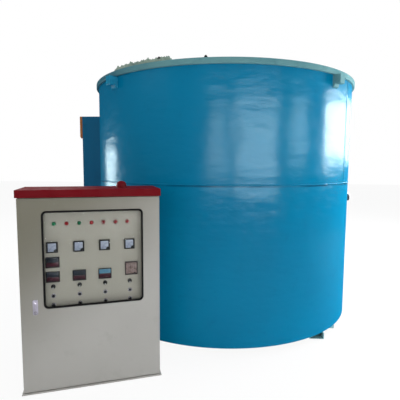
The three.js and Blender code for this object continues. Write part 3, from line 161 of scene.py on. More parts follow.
def filleted(corners: list[Pair], radii: list[float], steps: int) -> Array:
    """A run of straight lines in a plane with an arc at each inner corner.

    An arc of radius r starts and ends r * tan(turn / 2) from its corner, and each of its points is
    the corner's blend of those two ends by a circle's own angle.

    Args:
        corners: The corners, in order.
        radii: The radius at each corner; nought leaves it sharp.
        steps: Steps of each arc.

    Returns:
        The points, one a row.
    """
    points = np.array(corners, float)
    run: list[Array] = []
    for i, radius in enumerate(radii):
        if radius <= 0 or i in (0, len(corners) - 1):
            run.append(points[i : i + 1])
            continue
        before = points[i - 1] - points[i]
        after = points[i + 1] - points[i]
        before /= np.linalg.norm(before)
        after /= np.linalg.norm(after)
        half = math.acos(float(np.clip(before @ after, -1, 1))) / 2
        reach = radius / math.tan(half)
        middle = points[i] + (before + after) / np.linalg.norm(before + after) * radius / math.sin(half)
        start = points[i] + before * reach - middle
        end = points[i] + after * reach - middle
        sweep = math.pi - 2 * half
        t = np.linspace(0, 1, steps + 1)[:, None]
        run.append(middle + (start * np.sin((1 - t) * sweep) + end * np.sin(t * sweep)) / math.sin(sweep))
    return np.concatenate(run)


def turned(corners: list[Pair], radii: list[float], steps: int, segments: int, closed: bool = False) -> Surface:
    """A filleted profile turned about the vertical axis.

    Args:
        corners: The profile's corners as radius and height.
        radii: The radius at each corner.
        steps: Steps of each arc.
        segments: Steps of the turn.
        closed: Whether the profile ends where it starts.

    Returns:
        The surface.
    """
    profile = filleted(corners, radii, steps)
    return lathe(profile[:-1] if closed else profile, segments, closed)


def ring_of(radius: float, sides: int) -> Array:
    """A circle's points in a plane, anticlockwise: radius times the cosine and sine of each angle."""
    angle = np.linspace(0, 2 * np.pi, sides, endpoint=False)
    return radius * np.stack([np.cos(angle), np.sin(angle)], -1)


def rounded_rectangle(width: float, height: float, radius: float, steps: int) -> Array:
    """A rectangle about the origin with round corners, anticlockwise.

    Each corner is a quarter circle about a centre that lies one radius in from both sides.

    Args:
        width: The full width.
        height: The full height.
        radius: The corners' radius.
        steps: Steps of each corner.

    Returns:
        The points, one a row.
    """
    quarter = np.linspace(0, np.pi / 2, steps + 1)
    turn = np.repeat(np.arange(4) * np.pi / 2, steps + 1)
    angle = np.tile(quarter, 4) + turn
    side_x = np.sign(np.cos(turn + np.pi / 4)) * (width / 2 - radius)
    side_y = np.sign(np.sin(turn + np.pi / 4)) * (height / 2 - radius)
    return np.stack([side_x + radius * np.cos(angle), side_y + radius * np.sin(angle)], -1)


def inset(outline: Array, by: float) -> Array:
    """A closed anticlockwise outline moved in along its normals.

    The normal is the tangent, taken from the neighbours on both sides, turned a quarter clockwise.

    Args:
        outline: The points, one a row.
        by: How far in.

    Returns:
        The moved points.
    """
    tangent = np.roll(outline, -1, 0) - np.roll(outline, 1, 0)
    tangent /= np.linalg.norm(tangent, axis=1, keepdims=True)
    return outline - by * np.stack([tangent[:, 1], -tangent[:, 0]], -1)


def plate(outline: Array, thickness: float, bevel: float, steps: int = 2) -> Surface:
    """A closed outline carried up from nought to a thickness, its top edge rounded.

    Ring k of the edge lies bevel * (1 - cos t) in and bevel * (1 - sin t) below the top, for t from
    nought to a quarter turn.

    Args:
        outline: The anticlockwise outline.
        thickness: The height of the top.
        bevel: The rounding of the top edge.
        steps: Steps of the rounding.

    Returns:
        The closed surface.
    """
    turn = np.linspace(0, np.pi / 2, steps + 1)
    ins = np.concatenate([[0.0], bevel * (1 - np.cos(turn))])
    ups = np.concatenate([[0.0], thickness - bevel * (1 - np.sin(turn))])
    return grid(np.stack([level(inset(outline, i), u) for i, u in zip(ins, ups)]), caps=True)


def disc(radius: float, sides: int, thickness: float, bevel: float, at: Triple = (0.0, 0.0, 0.0)) -> Surface:
    """A round or many-sided plate whose underside's middle lies at a place."""
    return plate(ring_of(radius, sides), thickness, bevel).moved(*at)


def slab(
    width: float, height: float, corner: float, steps: int, thickness: float, bevel: float,
    at: Triple = (0.0, 0.0, 0.0),
) -> Surface:
    """A round-cornered plate whose underside's middle lies at a place."""
    return plate(rounded_rectangle(width, height, corner, steps), thickness, bevel).moved(*at)


def frame_plate(outer: Array, inner: Array, thickness: float, bevel: float) -> Surface:
    """A flat ring between two outlines of equal point count, its front edges rounded.

    The section runs up the outer side, across the front and down the inner side; it is closed at the back.

    Args:
        outer: The outer anticlockwise outline.
        inner: The inner one.
        thickness: The height of the front.
        bevel: The rounding of both front edges.

    Returns:
        The closed ring.
    """
    turn = np.linspace(0, np.pi / 2, 4)
    rise = thickness - bevel * (1 - np.sin(turn))
    side = bevel * (1 - np.cos(turn))
    layers = [(outer, 0.0, 0.0), *((outer, i, u) for i, u in zip(side, rise))]
    layers += [*((inner, -i, u) for i, u in zip(side[::-1], rise[::-1])), (inner, 0.0, 0.0)]
    return grid(np.stack([level(inset(outline, i), u) for outline, i, u in layers]), wrap_rows=True)


def within(outline: Array, points: Array) -> Array:
    """Whether points lie inside an outline: a line to the right from them crosses it an odd number of times.

    Args:
        outline: The closed outline.
        points: The points, one a row.

    Returns:
        One truth value for each point.
    """
    start, end = outline[None], np.roll(outline, -1, 0)[None]
    x, y = points[:, :1], points[:, 1:]
    straddles = (start[..., 1] > y) != (end[..., 1] > y)
    slope = (end[..., 0] - start[..., 0]) / np.where(straddles, end[..., 1] - start[..., 1], 1.0)
    crossed = straddles & (x < start[..., 0] + (y - start[..., 1]) * slope)
    return crossed.sum(1) % 2 == 1


def pierced(outer: Array, holes: list[Array], thickness: float) -> Surface:
    """A flat sheet with holes, from nought down to a thickness, open round its outer edge.

    A Delaunay triangulation that keeps every outline fills the outer one, and a triangle stays where its
    middle lies outside every hole.

    Args:
        outer: The outer anticlockwise outline.
        holes: The holes' anticlockwise outlines.
        thickness: The sheet's thickness.

    Returns:
        Both faces and the holes' walls.
    """
    loops = [outer, *holes]
    starts = np.cumsum([0] + [len(loop) for loop in loops[:-1]]).tolist()
    edges = [(start + i, start + (i + 1) % len(loop)) for start, loop in zip(starts, loops) for i in range(len(loop))]
    result = delaunay_2d_cdt([Vector(point) for loop in loops for point in loop], edges, [], 0, HOLE_GAP)
    spots, corners = np.array([tuple(point) for point in result[0]]), np.array(result[2])
    middle = spots[corners].mean(1)
    keep = within(outer, middle)
    for hole in holes:
        keep &= ~within(hole, middle)
    a, b, c = (spots[corners[keep][:, i]] for i in range(3))
    left = (b - a)[:, 0] * (c - a)[:, 1] - (b - a)[:, 1] * (c - a)[:, 0] > 0
    faces = np.where(left[:, None], corners[keep], corners[keep][:, ::-1])
    front = Surface(level(spots, 0.0), (faces,))
    back = Surface(front.points - thickness * UP, (faces[:, ::-1],))
    return joined(front, back, *(grid(np.stack([level(hole, 0.0), level(hole, -thickness)])) for hole in holes))


def swept(path: Array, section: Array, up: Array, scale: Array | float = 1.0) -> Surface:
    """A closed section carried along a path, with capped ends.

    At each station the side is up crossed with the tangent and the lift is the tangent crossed with the
    side; a section point (a, b) lies a along the side and b along the lift from the path.

    Args:
        path: The stations, one a row.
        section: The anticlockwise section, one point a row.
        up: One upward vector, or one for each station.
        scale: The section's size, one for all or one for each station.

    Returns:
        The tube.
    """
    tangent = np.gradient(path, axis=0)
    tangent /= np.linalg.norm(tangent, axis=1, keepdims=True)
    side = np.cross(np.broadcast_to(up, path.shape), tangent)
    side /= np.linalg.norm(side, axis=1, keepdims=True)
    lift = np.cross(tangent, side)
    size = np.broadcast_to(scale, len(path))[:, None, None]
    a, b = section[:, 0][None, :, None], section[:, 1][None, :, None]
    return grid(path[:, None] + size * (a * side[:, None] + b * lift[:, None]), caps=True)


def to_front(surface: Surface) -> Surface:
    """Turns a surface built upward so that it faces -Y: (x, y, z) goes to (x, -z, y)."""
    return surface.mapped(lambda p: np.stack([p[:, 0], -p[:, 2], p[:, 1]], -1))


def to_radial(surface: Surface, azimuth: float, height: float) -> Surface:
    """Turns a surface built upward so that it points out from the furnace's axis.

    (x, y, z) goes to x along the circle, y up and z out.

    Args:
        surface: The surface.
        azimuth: Degrees about the axis.
        height: The height that its own y starts from.

    Returns:
        The turned surface.
    """
    a = math.radians(azimuth)
    out, along = around(1.0, a, 0.0), np.array([math.cos(a), math.sin(a), 0.0])
    return surface.mapped(lambda p: height * UP + p[:, :1] * along + p[:, 1:2] * UP + p[:, 2:] * out)


# Finishes


def rgb(code: int) -> Colour:
    """A screen colour such as 0x336699 as linear red, green and blue.

    Args:
        code: The colour as one number, two hexadecimal digits for each part.

    Returns:
        The linear parts.
    """
    parts = [((code >> shift) & 255) / 255 for shift in (16, 8, 0)]
    red, green, blue = (p / 12.92 if p <= 0.04045 else ((p + 0.055) / 1.055) ** 2.4 for p in parts)
    return red, green, blue


class Recipe:
    """A material in the making: its node tree, and short ways to add to it."""

    def __init__(self, name: str) -> None:
        """Starts a material with one Principled shader.

        Args:
            name: The material's name.
        """
        self.material = bpy.data.materials.new(name)
        self.material.use_nodes = True
        self.tree = self.material.node_tree
        self.shader = self.tree.nodes["Principled BSDF"]
        self.position = self.node("TexCoord").outputs["Object"]

    def node(self, kind: str, **settings: object) -> bpy.types.Node:
        """Adds a shader node of a kind and sets the named properties on it.

        Args:
            kind: The node's type without its first word.
            settings: The node's properties by name.

        Returns:
            The new node.
        """
        node = self.tree.nodes.new("ShaderNode" + kind)
        for name, value in settings.items():
            setattr(node, name, value)
        return node

    def put(self, socket: Socket, value: object) -> None:
        """Links a socket to an input, or sets the input's value, where a colour is opaque.

        Args:
            socket: The input.
            value: An output to link, or a number, place or colour.
        """
        if isinstance(value, Socket):
            self.tree.links.new(value, socket)
        elif isinstance(socket, bpy.types.NodeSocketColor):
            socket.default_value = (*value, 1.0)
        else:
            socket.default_value = value

    def feed(self, node: bpy.types.Node, *places: object, **inputs: object) -> bpy.types.Node:
        """Fills a node's inputs, the first ones in order and others by name.

        Args:
            node: The node.
            places: Values for its first inputs, in order.
            inputs: Values by the input's name, with an underscore for each space.

        Returns:
            The same node.
        """
        for socket, value in zip(node.inputs, places):
            self.put(socket, value)
        for name, value in inputs.items():
            self.put(node.inputs[name.replace("_", " ")], value)
        return node

    def maths(self, kind: str, a: Socket, b: Socket | float) -> Socket:
        """One step of arithmetic on two values."""
        return self.feed(self.node("Math", operation=kind), a, b).outputs[0]

    def product(self, a: Socket, b: Socket | float) -> Socket:
        """One value times another."""
        return self.maths("MULTIPLY", a, b)

    def stretched(self, x: float, y: float, z: float) -> Socket:
        """The object's position with each axis scaled."""
        return self.feed(self.node("Mapping"), Vector=self.position, Scale=(x, y, z)).outputs[0]

    def noise(self, scale: float, detail: float, at: Socket | None = None, rough: float = 0.5) -> Socket:
        """Cloudy noise from nought to one.

        Args:
            scale: Clouds to the metre.
            detail: How many finer layers it has.
            at: The position it reads, or none for the object's own.
            rough: The share of the finer layers.

        Returns:
            The noise.
        """
        node = self.node("TexNoise")
        self.feed(node, Vector=at or self.position, Scale=scale, Detail=detail, Roughness=rough)
        return node.outputs["Fac"]

    def span(self, value: Socket, low: float, high: float, start: float = 0.0, end: float = 1.0) -> Socket:
        """Maps a value's stretch from low to high onto start to end, and holds it beyond."""
        node = self.node("MapRange", interpolation_type="SMOOTHSTEP")
        return self.feed(node, Value=value, From_Min=low, From_Max=high, To_Min=start, To_Max=end).outputs[0]

    def blend(self, factor: Socket, a: Socket | Colour, b: Socket | Colour) -> Socket:
        """A mix of two colours by a factor.

        Args:
            factor: Nought for the first colour and one for the second.
            a: The first.
            b: The second.

        Returns:
            The mixed colour.
        """
        node = self.node("Mix", data_type="RGBA")
        for index, value in ((0, factor), (6, a), (7, b)):
            self.put(node.inputs[index], value)
        return node.outputs[2]

    def bumped(self, height: Socket, depth: float, strength: float = 1.0) -> None:
        """Adds relief of a depth in metres over the relief that the shader has.

        Args:
            height: The relief, from nought to one.
            depth: Its depth, below nought for grooves.
            strength: The share of it that shows.
        """
        node = self.feed(self.node("Bump"), Height=height, Distance=depth, Strength=strength)
        socket = self.shader.inputs["Normal"]
        if socket.is_linked:
            self.put(node.inputs["Normal"], socket.links[0].from_socket)
        self.put(socket, node.outputs[0])

    def edges(self, radius: float) -> Socket:
        """Nought on flats and one along edges: how far a rounded normal leans from the true one.

        Args:
            radius: How far from an edge its rounding reaches.

        Returns:
            The edges' mask.
        """
        bevel = self.feed(self.node("Bevel", samples=4), Radius=radius)
        true = self.node("NewGeometry").outputs["Normal"]
        dot = self.feed(self.node("VectorMath", operation="DOT_PRODUCT"), bevel.outputs[0], true)
        return self.span(dot.outputs["Value"], 0.995, 0.85)

    def axis(self, index: int) -> Socket:
        """One coordinate of the object's position."""
        return self.feed(self.node("SeparateXYZ"), Vector=self.position).outputs[index]

    def mixed(self, factor: Socket | float, other: bpy.types.Node) -> None:
        """Sends the shader to the output mixed with another one by a factor."""
        mix = self.feed(self.node("MixShader"), factor, self.shader.outputs[0], other.outputs[0])
        self.put(self.tree.nodes["Material Output"].inputs["Surface"], mix.outputs[0])

    def finish(self, **inputs: object) -> None:
        """Sets the shader's inputs by name."""
        self.feed(self.shader, **inputs)


@dataclass(frozen=True)
class Finish(ABC):
    """A finish that has a material of its own."""

    name: str

    @abstractmethod
    def cook(self, recipe: Recipe) -> None:
        """Fills in the material's recipe."""

    @cache
    def material(self) -> bpy.types.Material:
        """The finish's material, built when it is first asked for.

        Returns:
            The finish's material.
        """
        recipe = Recipe(self.name)
        self.cook(recipe)
        return recipe.material


@dataclass(frozen=True)
class Paint(Finish):
    """Sprayed or brushed paint on steel, with faint clouds, grime, worn edges and orange peel.

    Where asked for, it sags, takes a painted shade that darkens it towards the top and the left, has a
    painted shadow in a dark band under a height, and has a thin varnish that mirrors a constant share.
    """

    colour: Colour
    shade: Colour
    dirt: Colour
    roughness: float
    cloud_scale: float = 2.0
    cloud: float = 0.5
    grime: float = 0.3
    wear: float = 0.5
    wear_radius: float = 0.004
    bare: Colour = (0.22, 0.22, 0.22)
    peel_scale: float = 420.0
    peel: float = 0.00012
    specular: float = 0.0
    tint: Colour = (1.0, 1.0, 1.0)
    sag: float = 0.0
    # upper: a painted shade colour. It darkens the paint towards the top and, by the lean, towards the left, where less
    # light falls.
    upper: Colour | None = None
    painted_shade_span: Pair = (0.0, 1.0)
    painted_shade_lean: float = 0.0
    # line: the height of a weld. A painted shadow in the line colour darkens a band just under it.
    line: float = 0.0
    painted_shadow_colour: Colour = rgb(0x003F5C)
    gloss: float = 0.0

    def coloured(self, recipe: Recipe) -> Socket:
        """The paint's colour: clouds, then the painted shade higher up, grime, bare edges and the painted shadow under
        the line.

        Args:
            recipe: The material's recipe.

        Returns:
            The colour.
        """
        clouds = recipe.span(recipe.noise(self.cloud_scale, 4), 0.35, 0.7, 0.0, self.cloud)
        colour = recipe.blend(clouds, self.colour, self.shade)
        # Painted shade: blend towards the upper colour as the height, less x times the lean, climbs through the span.
        if self.upper:
            rise = recipe.maths("SUBTRACT", recipe.axis(2), recipe.product(recipe.axis(0), self.painted_shade_lean))
            colour = recipe.blend(recipe.span(rise, *self.painted_shade_span), colour, self.upper)
        spots = recipe.span(recipe.noise(9, 6, rough=0.65), 0.55, 0.78, 0.0, self.grime)
        colour = recipe.blend(spots, colour, self.dirt)
        if self.wear:
            chips = recipe.span(recipe.noise(60, 4), 0.45, 0.6)
            worn = recipe.product(recipe.product(recipe.edges(self.wear_radius), chips), self.wear)
            colour = recipe.blend(worn, colour, self.bare)
        # Painted shadow: a dark band reaching up to the line's height from about 24 mm under it, where the weld bead
        # would shade the wall.
        if self.line:
            above = recipe.span(recipe.axis(2), self.line - 0.024, self.line - 0.013, 0.0, 0.75)
            below = recipe.span(recipe.axis(2), self.line - 0.006, self.line, 1.0, 0.0)
            uneven = recipe.span(recipe.noise(2.5, 3), 0.35, 0.6, 0.35, 1.0)
            painted_shadow = recipe.product(recipe.product(above, below), uneven)
            colour = recipe.blend(painted_shadow, colour, self.painted_shadow_colour)
        return colour

    def cook(self, recipe: Recipe) -> None:
        """Fills in the material's recipe.

        Args:
            recipe: The material's recipe.
        """
        colour = self.coloured(recipe)
        rough = recipe.span(recipe.noise(14, 5), 0.3, 0.75, self.roughness * 0.8, self.roughness * 1.3)
        recipe.bumped(recipe.noise(self.peel_scale, 2), self.peel)
        if self.sag:
            recipe.bumped(recipe.noise(3.5, 4, recipe.stretched(1, 1, 2.6)), self.sag)
        if self.gloss:
            relief = recipe.shader.inputs["Normal"].links[0].from_socket
            varnish = recipe.node("BsdfAnisotropic")
            recipe.mixed(self.gloss, recipe.feed(varnish, Color=self.tint, Roughness=rough, Normal=relief))
        recipe.finish(
            Base_Color=colour, Roughness=rough, Specular_IOR_Level=self.specular, Specular_Tint=self.tint
        )


@dataclass(frozen=True)
class Metal(Finish):
    """Bare metal with a grain and patches of tarnish."""

    colour: Colour
    tarnish: Colour
    roughness: float
    metallic: float = 1.0
    grain: Triple = (1.0, 1.0, 1.0)
    grain_scale: float = 90.0
    relief: float = 0.0001

    def cook(self, recipe: Recipe) -> None:
        """Fills in the material's recipe.

        Args:
            recipe: The material's recipe.
        """
        patches = recipe.span(recipe.noise(12, 5), 0.4, 0.72)
        grain = recipe.noise(self.grain_scale, 4, recipe.stretched(*self.grain))
        colour = recipe.blend(patches, self.colour, self.tarnish)
        rough = recipe.span(grain, 0.3, 0.7, self.roughness * 0.75, self.roughness * 1.35)
        recipe.bumped(grain, self.relief)
        recipe.finish(Base_Color=colour, Roughness=rough, Metallic=self.metallic)


@dataclass(frozen=True)
class Plastic(Finish):
    """Moulded plastic with a fine grain and dust."""

    colour: Colour
    dust: Colour = (0.30, 0.29, 0.27)
    dusty: float = 0.12
    roughness: float = 0.45
    grain_scale: float = 900.0
    grain: float = 0.00005
    specular: float = 0.12

    def cook(self, recipe: Recipe) -> None:
        """Fills in the material's recipe.

        Args:
            recipe: The material's recipe.
        """
        dust = recipe.span(recipe.noise(45, 5), 0.45, 0.75, 0.0, self.dusty)
        colour = recipe.blend(dust, self.colour, self.dust)
        rough = recipe.span(recipe.noise(30, 4), 0.3, 0.7, self.roughness * 0.8, self.roughness * 1.25)
        recipe.bumped(recipe.noise(self.grain_scale, 2), self.grain)
        recipe.finish(Base_Color=colour, Roughness=rough, Specular_IOR_Level=self.specular)


@dataclass(frozen=True)
class Lens(Finish):
    """A signal lamp's coloured lens: clear plastic over a prismed inside."""

    colour: Colour
    deep: Colour

    def cook(self, recipe: Recipe) -> None:
        """Fills in the material's recipe.

        Args:
            recipe: The material's recipe.
        """
        prisms = recipe.feed(recipe.node("TexVoronoi"), Vector=recipe.position, Scale=380.0).outputs["Distance"]
        colour = recipe.blend(recipe.span(prisms, 0.0, 0.6), self.colour, self.deep)
        recipe.bumped(prisms, 0.0004, 0.6)
        recipe.finish(Base_Color=colour, Roughness=0.25, Specular_IOR_Level=0.12)


@dataclass(frozen=True)
class Fibre(Finish):
    """Ceramic fibre board or blanket: pale, matted and a little scorched."""

    colour: Colour
    scorch: Colour
    scorched: float = 0.5

    def cook(self, recipe: Recipe) -> None:
        """Fills in the material's recipe.

        Args:
            recipe: The material's recipe.
        """
        matted = recipe.noise(160, 6, recipe.stretched(1, 1, 2.4), 0.7)
        patches = recipe.span(recipe.noise(3.5, 5), 0.45, 0.75, 0.0, self.scorched)
        colour = recipe.blend(patches, self.colour, self.scorch)
        colour = recipe.blend(recipe.span(matted, 0.35, 0.75, 0.0, 0.35), colour, self.scorch)
        recipe.bumped(matted, 0.0025, 0.8)
        recipe.finish(Base_Color=colour, Roughness=0.95, Specular_IOR_Level=0.2)


@dataclass(frozen=True)
class Brickwork(Finish):
    """Firebricks laid round the axis, with mortar, chipped faces and soot.

    The pattern's across is the angle about the axis times a radius, and its up is the height.
    """

    radius: float
    brick: Colour
    other: Colour
    mortar: Colour
    soot: Colour = (0.20, 0.15, 0.11)
    length: float = 0.23
    course: float = 0.075
    joint: float = 0.0028

    def cook(self, recipe: Recipe) -> None:
        """Fills in the material's recipe.

        Args:
            recipe: The material's recipe.
        """
        angle = recipe.maths("ARCTAN2", recipe.axis(0), recipe.axis(1))
        place = recipe.feed(recipe.node("CombineXYZ"), X=recipe.product(angle, self.radius), Y=recipe.axis(2))
        bond = recipe.feed(
            recipe.node("TexBrick"), Vector=place.outputs[0], Scale=1.0, Brick_Width=self.length,
            Row_Height=self.course, Mortar_Size=self.joint, Mortar_Smooth=0.3, Bias=0.0,
            Color1=self.brick, Color2=self.other, Mortar=self.mortar,
        )
        soot = recipe.span(recipe.noise(2.2, 4), 0.42, 0.75, 0.0, 0.55)
        recipe.bumped(recipe.noise(70, 6, rough=0.7), 0.0015, 0.7)
        recipe.bumped(bond.outputs["Fac"], -0.002)
        colour = recipe.blend(soot, bond.outputs["Color"], self.soot)
        recipe.finish(Base_Color=colour, Roughness=0.9, Specular_IOR_Level=0.25)


@dataclass(frozen=True)
class Pane(Finish):
    """Window glass, clear to shadows, with dust in patches."""

    tint: Colour

    def cook(self, recipe: Recipe) -> None:
        """Fills in the recipe: glass, and a clear shader that lets shadow and diffuse rays straight through.

        Args:
            recipe: The material's recipe.
        """
        smears = recipe.span(recipe.noise(7, 5), 0.35, 0.8, 0.01, 0.07)
        recipe.finish(Roughness=smears, Base_Color=self.tint, IOR=1.05, Transmission_Weight=1.0)
        recipe.bumped(recipe.noise(5, 2), 0.0008, 0.25)
        rays = recipe.node("LightPath").outputs
        through = recipe.maths("MAXIMUM", rays["Is Shadow Ray"], rays["Is Diffuse Ray"])
        recipe.mixed(through, recipe.node("BsdfTransparent"))


@dataclass(frozen=True)
class Flooring(Finish):
    """A floor that is white to the camera but for a share of its own shading."""

    colour: Colour
    other: Colour
    white: float

    def cook(self, recipe: Recipe) -> None:
        """Fills in the material's recipe.

        Args:
            recipe: The material's recipe.
        """
        colour = recipe.blend(recipe.span(recipe.noise(30, 3), 0.3, 0.7), self.colour, self.other)
        recipe.finish(Base_Color=colour, Roughness=0.7, Specular_IOR_Level=0.1)
        rays = recipe.node("LightPath").outputs["Is Camera Ray"]
        recipe.mixed(recipe.product(rays, self.white), recipe.node("Emission"))


GIRTH_SEAM = 1.510

# Painted shadow: line=GIRTH_SEAM darkens a band under the girth weld.
SHELL_BLUE = Paint(
    "shell_blue", rgb(0x007BA4), rgb(0x00719A), rgb(0x006389), 0.2, cloud_scale=1.1, cloud=0.6, wear=0.0,
    gloss=0.008, tint=(0.75, 0.95, 1.0), peel=0.0001, peel_scale=160, sag=0.005, line=GIRTH_SEAM,
)
FITTINGS_BLUE = Paint(
    "fittings_blue", rgb(0x1E8DB2), rgb(0x14789D), rgb(0x045F85), 0.4, wear=0.35, bare=rgb(0x3F6F80), gloss=0.004
)
TERMINAL_BLUE = Paint(
    "terminal_blue", rgb(0x0B6287), rgb(0x08527A), rgb(0x0A4058), 0.4, grime=0.4, wear=0.4, bare=rgb(0x3D6272),
    gloss=0.006,
)
# Painted shade: the upper colour darkens the rim towards the far left.
FLANGE_GREY = Paint(
    "flange_grey", rgb(0x6B9A9E), rgb(0x4F8792), rgb(0x45686C), 0.45, grime=0.55, bare=rgb(0x93A8A6),
    cloud_scale=5.0, gloss=0.002, upper=rgb(0x3F7484), painted_shade_span=(3.0, 3.95), painted_shade_lean=1.0,
)
FRAME_PAINT = Paint("frame_paint", rgb(0x93BDC2), rgb(0x7DA7AC), rgb(0x4F6264), 0.5, grime=0.4, gloss=0.002)
# Painted shade: the upper colour darkens the enamel towards the top and the left.
CABINET_ENAMEL = Paint(
    "cabinet_enamel", rgb(0xB2B0AB), rgb(0xA9A7A2), rgb(0x8B887E), 0.45, cloud_scale=1.5, cloud=0.6, grime=0.18,
    wear=0.3, wear_radius=0.003, bare=rgb(0xC9C7BC), peel=0.0001, peel_scale=700, specular=0.12,
    upper=rgb(0x726F60), painted_shade_span=(1.05, 2.35), painted_shade_lean=0.75,
)
CAP_RED = Paint(
    "cap_red", rgb(0x720A16), rgb(0x640A14), rgb(0x480810), 0.55, grime=0.25, wear=0.1, bare=rgb(0x7C3C3A),
    peel=0.0001, peel_scale=700, specular=0.02,
)
PANEL_ENAMEL = Paint(
    "panel_enamel", rgb(0xA9A599), rgb(0x9D998D), rgb(0x868276), 0.5, grime=0.15, wear=0.0, peel=0.00008,
    peel_scale=700, specular=0.1,
)
CERAMIC_FIBRE = Fibre("ceramic_fibre", rgb(0xDAD8CC), rgb(0xA79E88))
FRAYED_FIBRE = Fibre("frayed_fibre", rgb(0x93A596), rgb(0x5F7B78), 0.8)
FIREBRICK = Brickwork("firebrick", 1.11, rgb(0xD9C8A6), rgb(0xCDB58E), rgb(0xB7A98F))
CAST_HEARTH = Metal("cast_hearth", rgb(0x4A4643), rgb(0x6B4A36), 0.62, 0.7, grain_scale=140, relief=0.0012)
ELEMENT_ALLOY = Metal("element_alloy", rgb(0x6B5F58), rgb(0x463A33), 0.5, 0.85, grain_scale=60, relief=0.0004)
WORKED_STEEL = Metal("worked_steel", rgb(0x8A8D90), rgb(0x6A665F), 0.36, grain=(1, 1, 6))
ZINC_SCREWS = Metal("zinc_screws", rgb(0xB9BABC), rgb(0x8E8C84), 0.3, grain_scale=300, relief=0.00005)
LOCK_CHROME = Metal("lock_chrome", rgb(0xA6A2AE), rgb(0x85828C), 0.25, grain=(1, 1, 8), relief=0.00003)
HEAD_ENAMEL = Plastic("head_enamel", rgb(0x3E4345))
LEAD_CERAMIC = Plastic("lead_ceramic", rgb(0xE8E2D2), rgb(0xA3937C), 0.4, 0.5, 350, 0.0002)
TERMINAL_BOARD = Plastic("terminal_board", rgb(0xA8642F), rgb(0x6D4322), 0.5, 0.5, 500, 0.0002)
GASKET_RUBBER = Plastic("gasket_rubber", rgb(0x0C0C0D), rgb(0x2A2928), roughness=0.6, specular=0.05)
BLACK_PLASTIC = Plastic("black_plastic", rgb(0x141416), rgb(0x4A4845), roughness=0.35)
DISPLAY_SLATE = Plastic("display_slate", rgb(0x1D232C), rgb(0x343A42), 0.3, 0.25, grain=0.00001)
DISPLAY_MAROON = Plastic("display_maroon", rgb(0x380F1C), rgb(0x46262E), 0.3, 0.25, grain=0.00001)
DISPLAY_BLUE = Plastic("display_blue", rgb(0x4E7F97), rgb(0x7FA0AE), 0.3, 0.25, grain=0.00001)
METER_FACE = Plastic("meter_face", rgb(0x9AA3B6), rgb(0x868E9E), 0.6, 0.3, grain=0.00001)
RECORDER_PAPER = Plastic("recorder_paper", rgb(0x8E7A75), rgb(0x4C3C3A), 0.95)
RECORDER_CASE = Plastic("recorder_case", rgb(0x33292A), rgb(0x4C403E), 0.4, 0.35)
BEZEL_GREY = Plastic("bezel_grey", rgb(0xC4C4BE), rgb(0x9A9A94), 0.3, 0.4)
WHITE_MARK = Plastic("white_mark", rgb(0xEDEDE8), rgb(0xC9C7BE), 0.3)
BEACON_RED = Plastic("beacon_red", rgb(0x6E0C18), rgb(0x4A1418), 0.3, 0.6, 400, specular=0.04)
RED_LENS = Lens("red_lens", rgb(0xB8242C), rgb(0x7A121A))
GREEN_LENS = Lens("green_lens", rgb(0x1F8F58), rgb(0x12593A))
WINDOW_PANE = Pane("window_pane", rgb(0xF4F7F7))
FLOOR_WHITE = Flooring("floor_white", rgb(0xEDEDED), rgb(0xE8E8E8), 0.92)


# Pieces


class Body(StrEnum):
    """The bodies of the frame that most pieces ride on; each selector and button has one of its own."""

    FURNACE = "furnace"
    LID = "lid"
    TERMINAL_COVER = "terminal_cover"
    DOOR = "door"
    LOCK_SPINDLE = "lock_spindle"
    LOCK_LEVER = "lock_lever"


def welded(mesh: bpy.types.Mesh, gap: float, flat: float = 0.0) -> None:
    """Joins a mesh's points that all but touch and, if asked, its faces that lie flat to each other.

    Args:
        mesh: The mesh.
        gap: Points that lie closer are joined.
        flat: Faces that turn by fewer degrees are joined; nought keeps them all.
    """
    work = bmesh.new()
    work.from_mesh(mesh)
    bmesh.ops.remove_doubles(work, verts=work.verts, dist=gap)
    if flat:
        bmesh.ops.dissolve_limit(work, angle_limit=math.radians(flat), verts=work.verts, edges=work.edges)
    work.to_mesh(mesh)
    work.free()


def as_mesh(name: str, surface: Surface) -> bpy.types.Mesh:
    """Puts a surface into a mesh and welds its seams.

    Args:
        name: The mesh's name.
        surface: The surface.

    Returns:
        The mesh.
    """
    mesh = bpy.data.meshes.new(name)
    counts = np.concatenate([np.full(len(block), block.shape[1]) for block in surface.faces])
    corners = np.concatenate([block.reshape(-1) for block in surface.faces])
    mesh.vertices.add(len(surface.points))
    mesh.vertices.foreach_set("co", surface.points.astype(np.float32).reshape(-1))
    mesh.loops.add(len(corners))
    mesh.loops.foreach_set("vertex_index", corners.astype(np.int32))
    mesh.polygons.add(len(counts))
    mesh.polygons.foreach_set("loop_start", np.concatenate([[0], np.cumsum(counts)[:-1]]).astype(np.int32))
    mesh.update(calc_edges=True)
    mesh.validate()
    welded(mesh, SEAM_GAP)
    return mesh


def hung(mesh: bpy.types.Mesh, finish: Finish, angle: float, widest: int) -> bpy.types.Object:
    """Shades a mesh smooth, gives it its finish and hangs it in the scene.

    Args:
        mesh: The mesh, whose name the object takes.
        finish: Its finish.
        angle: Edges that turn by more degrees stay sharp.
        widest: Faces with more corners stay flat.

    Returns:
        The object.
    """
    corners = np.empty(len(mesh.polygons), np.int32)
    mesh.polygons.foreach_get("loop_total", corners)
    mesh.polygons.foreach_set("use_smooth", corners <= widest)
    mesh.set_sharp_from_angle(angle=math.radians(angle))
    mesh.update()
    dressed(mesh, finish)
    piece = bpy.data.objects.new(mesh.name, mesh)
    bpy.context.scene.collection.objects.link(piece)
    return piece


def dressed(mesh: bpy.types.Mesh, finish: Finish) -> None:
    """Gives a mesh a finish in place of those that it has."""
    mesh.materials.clear()
    mesh.materials.append(finish.material())


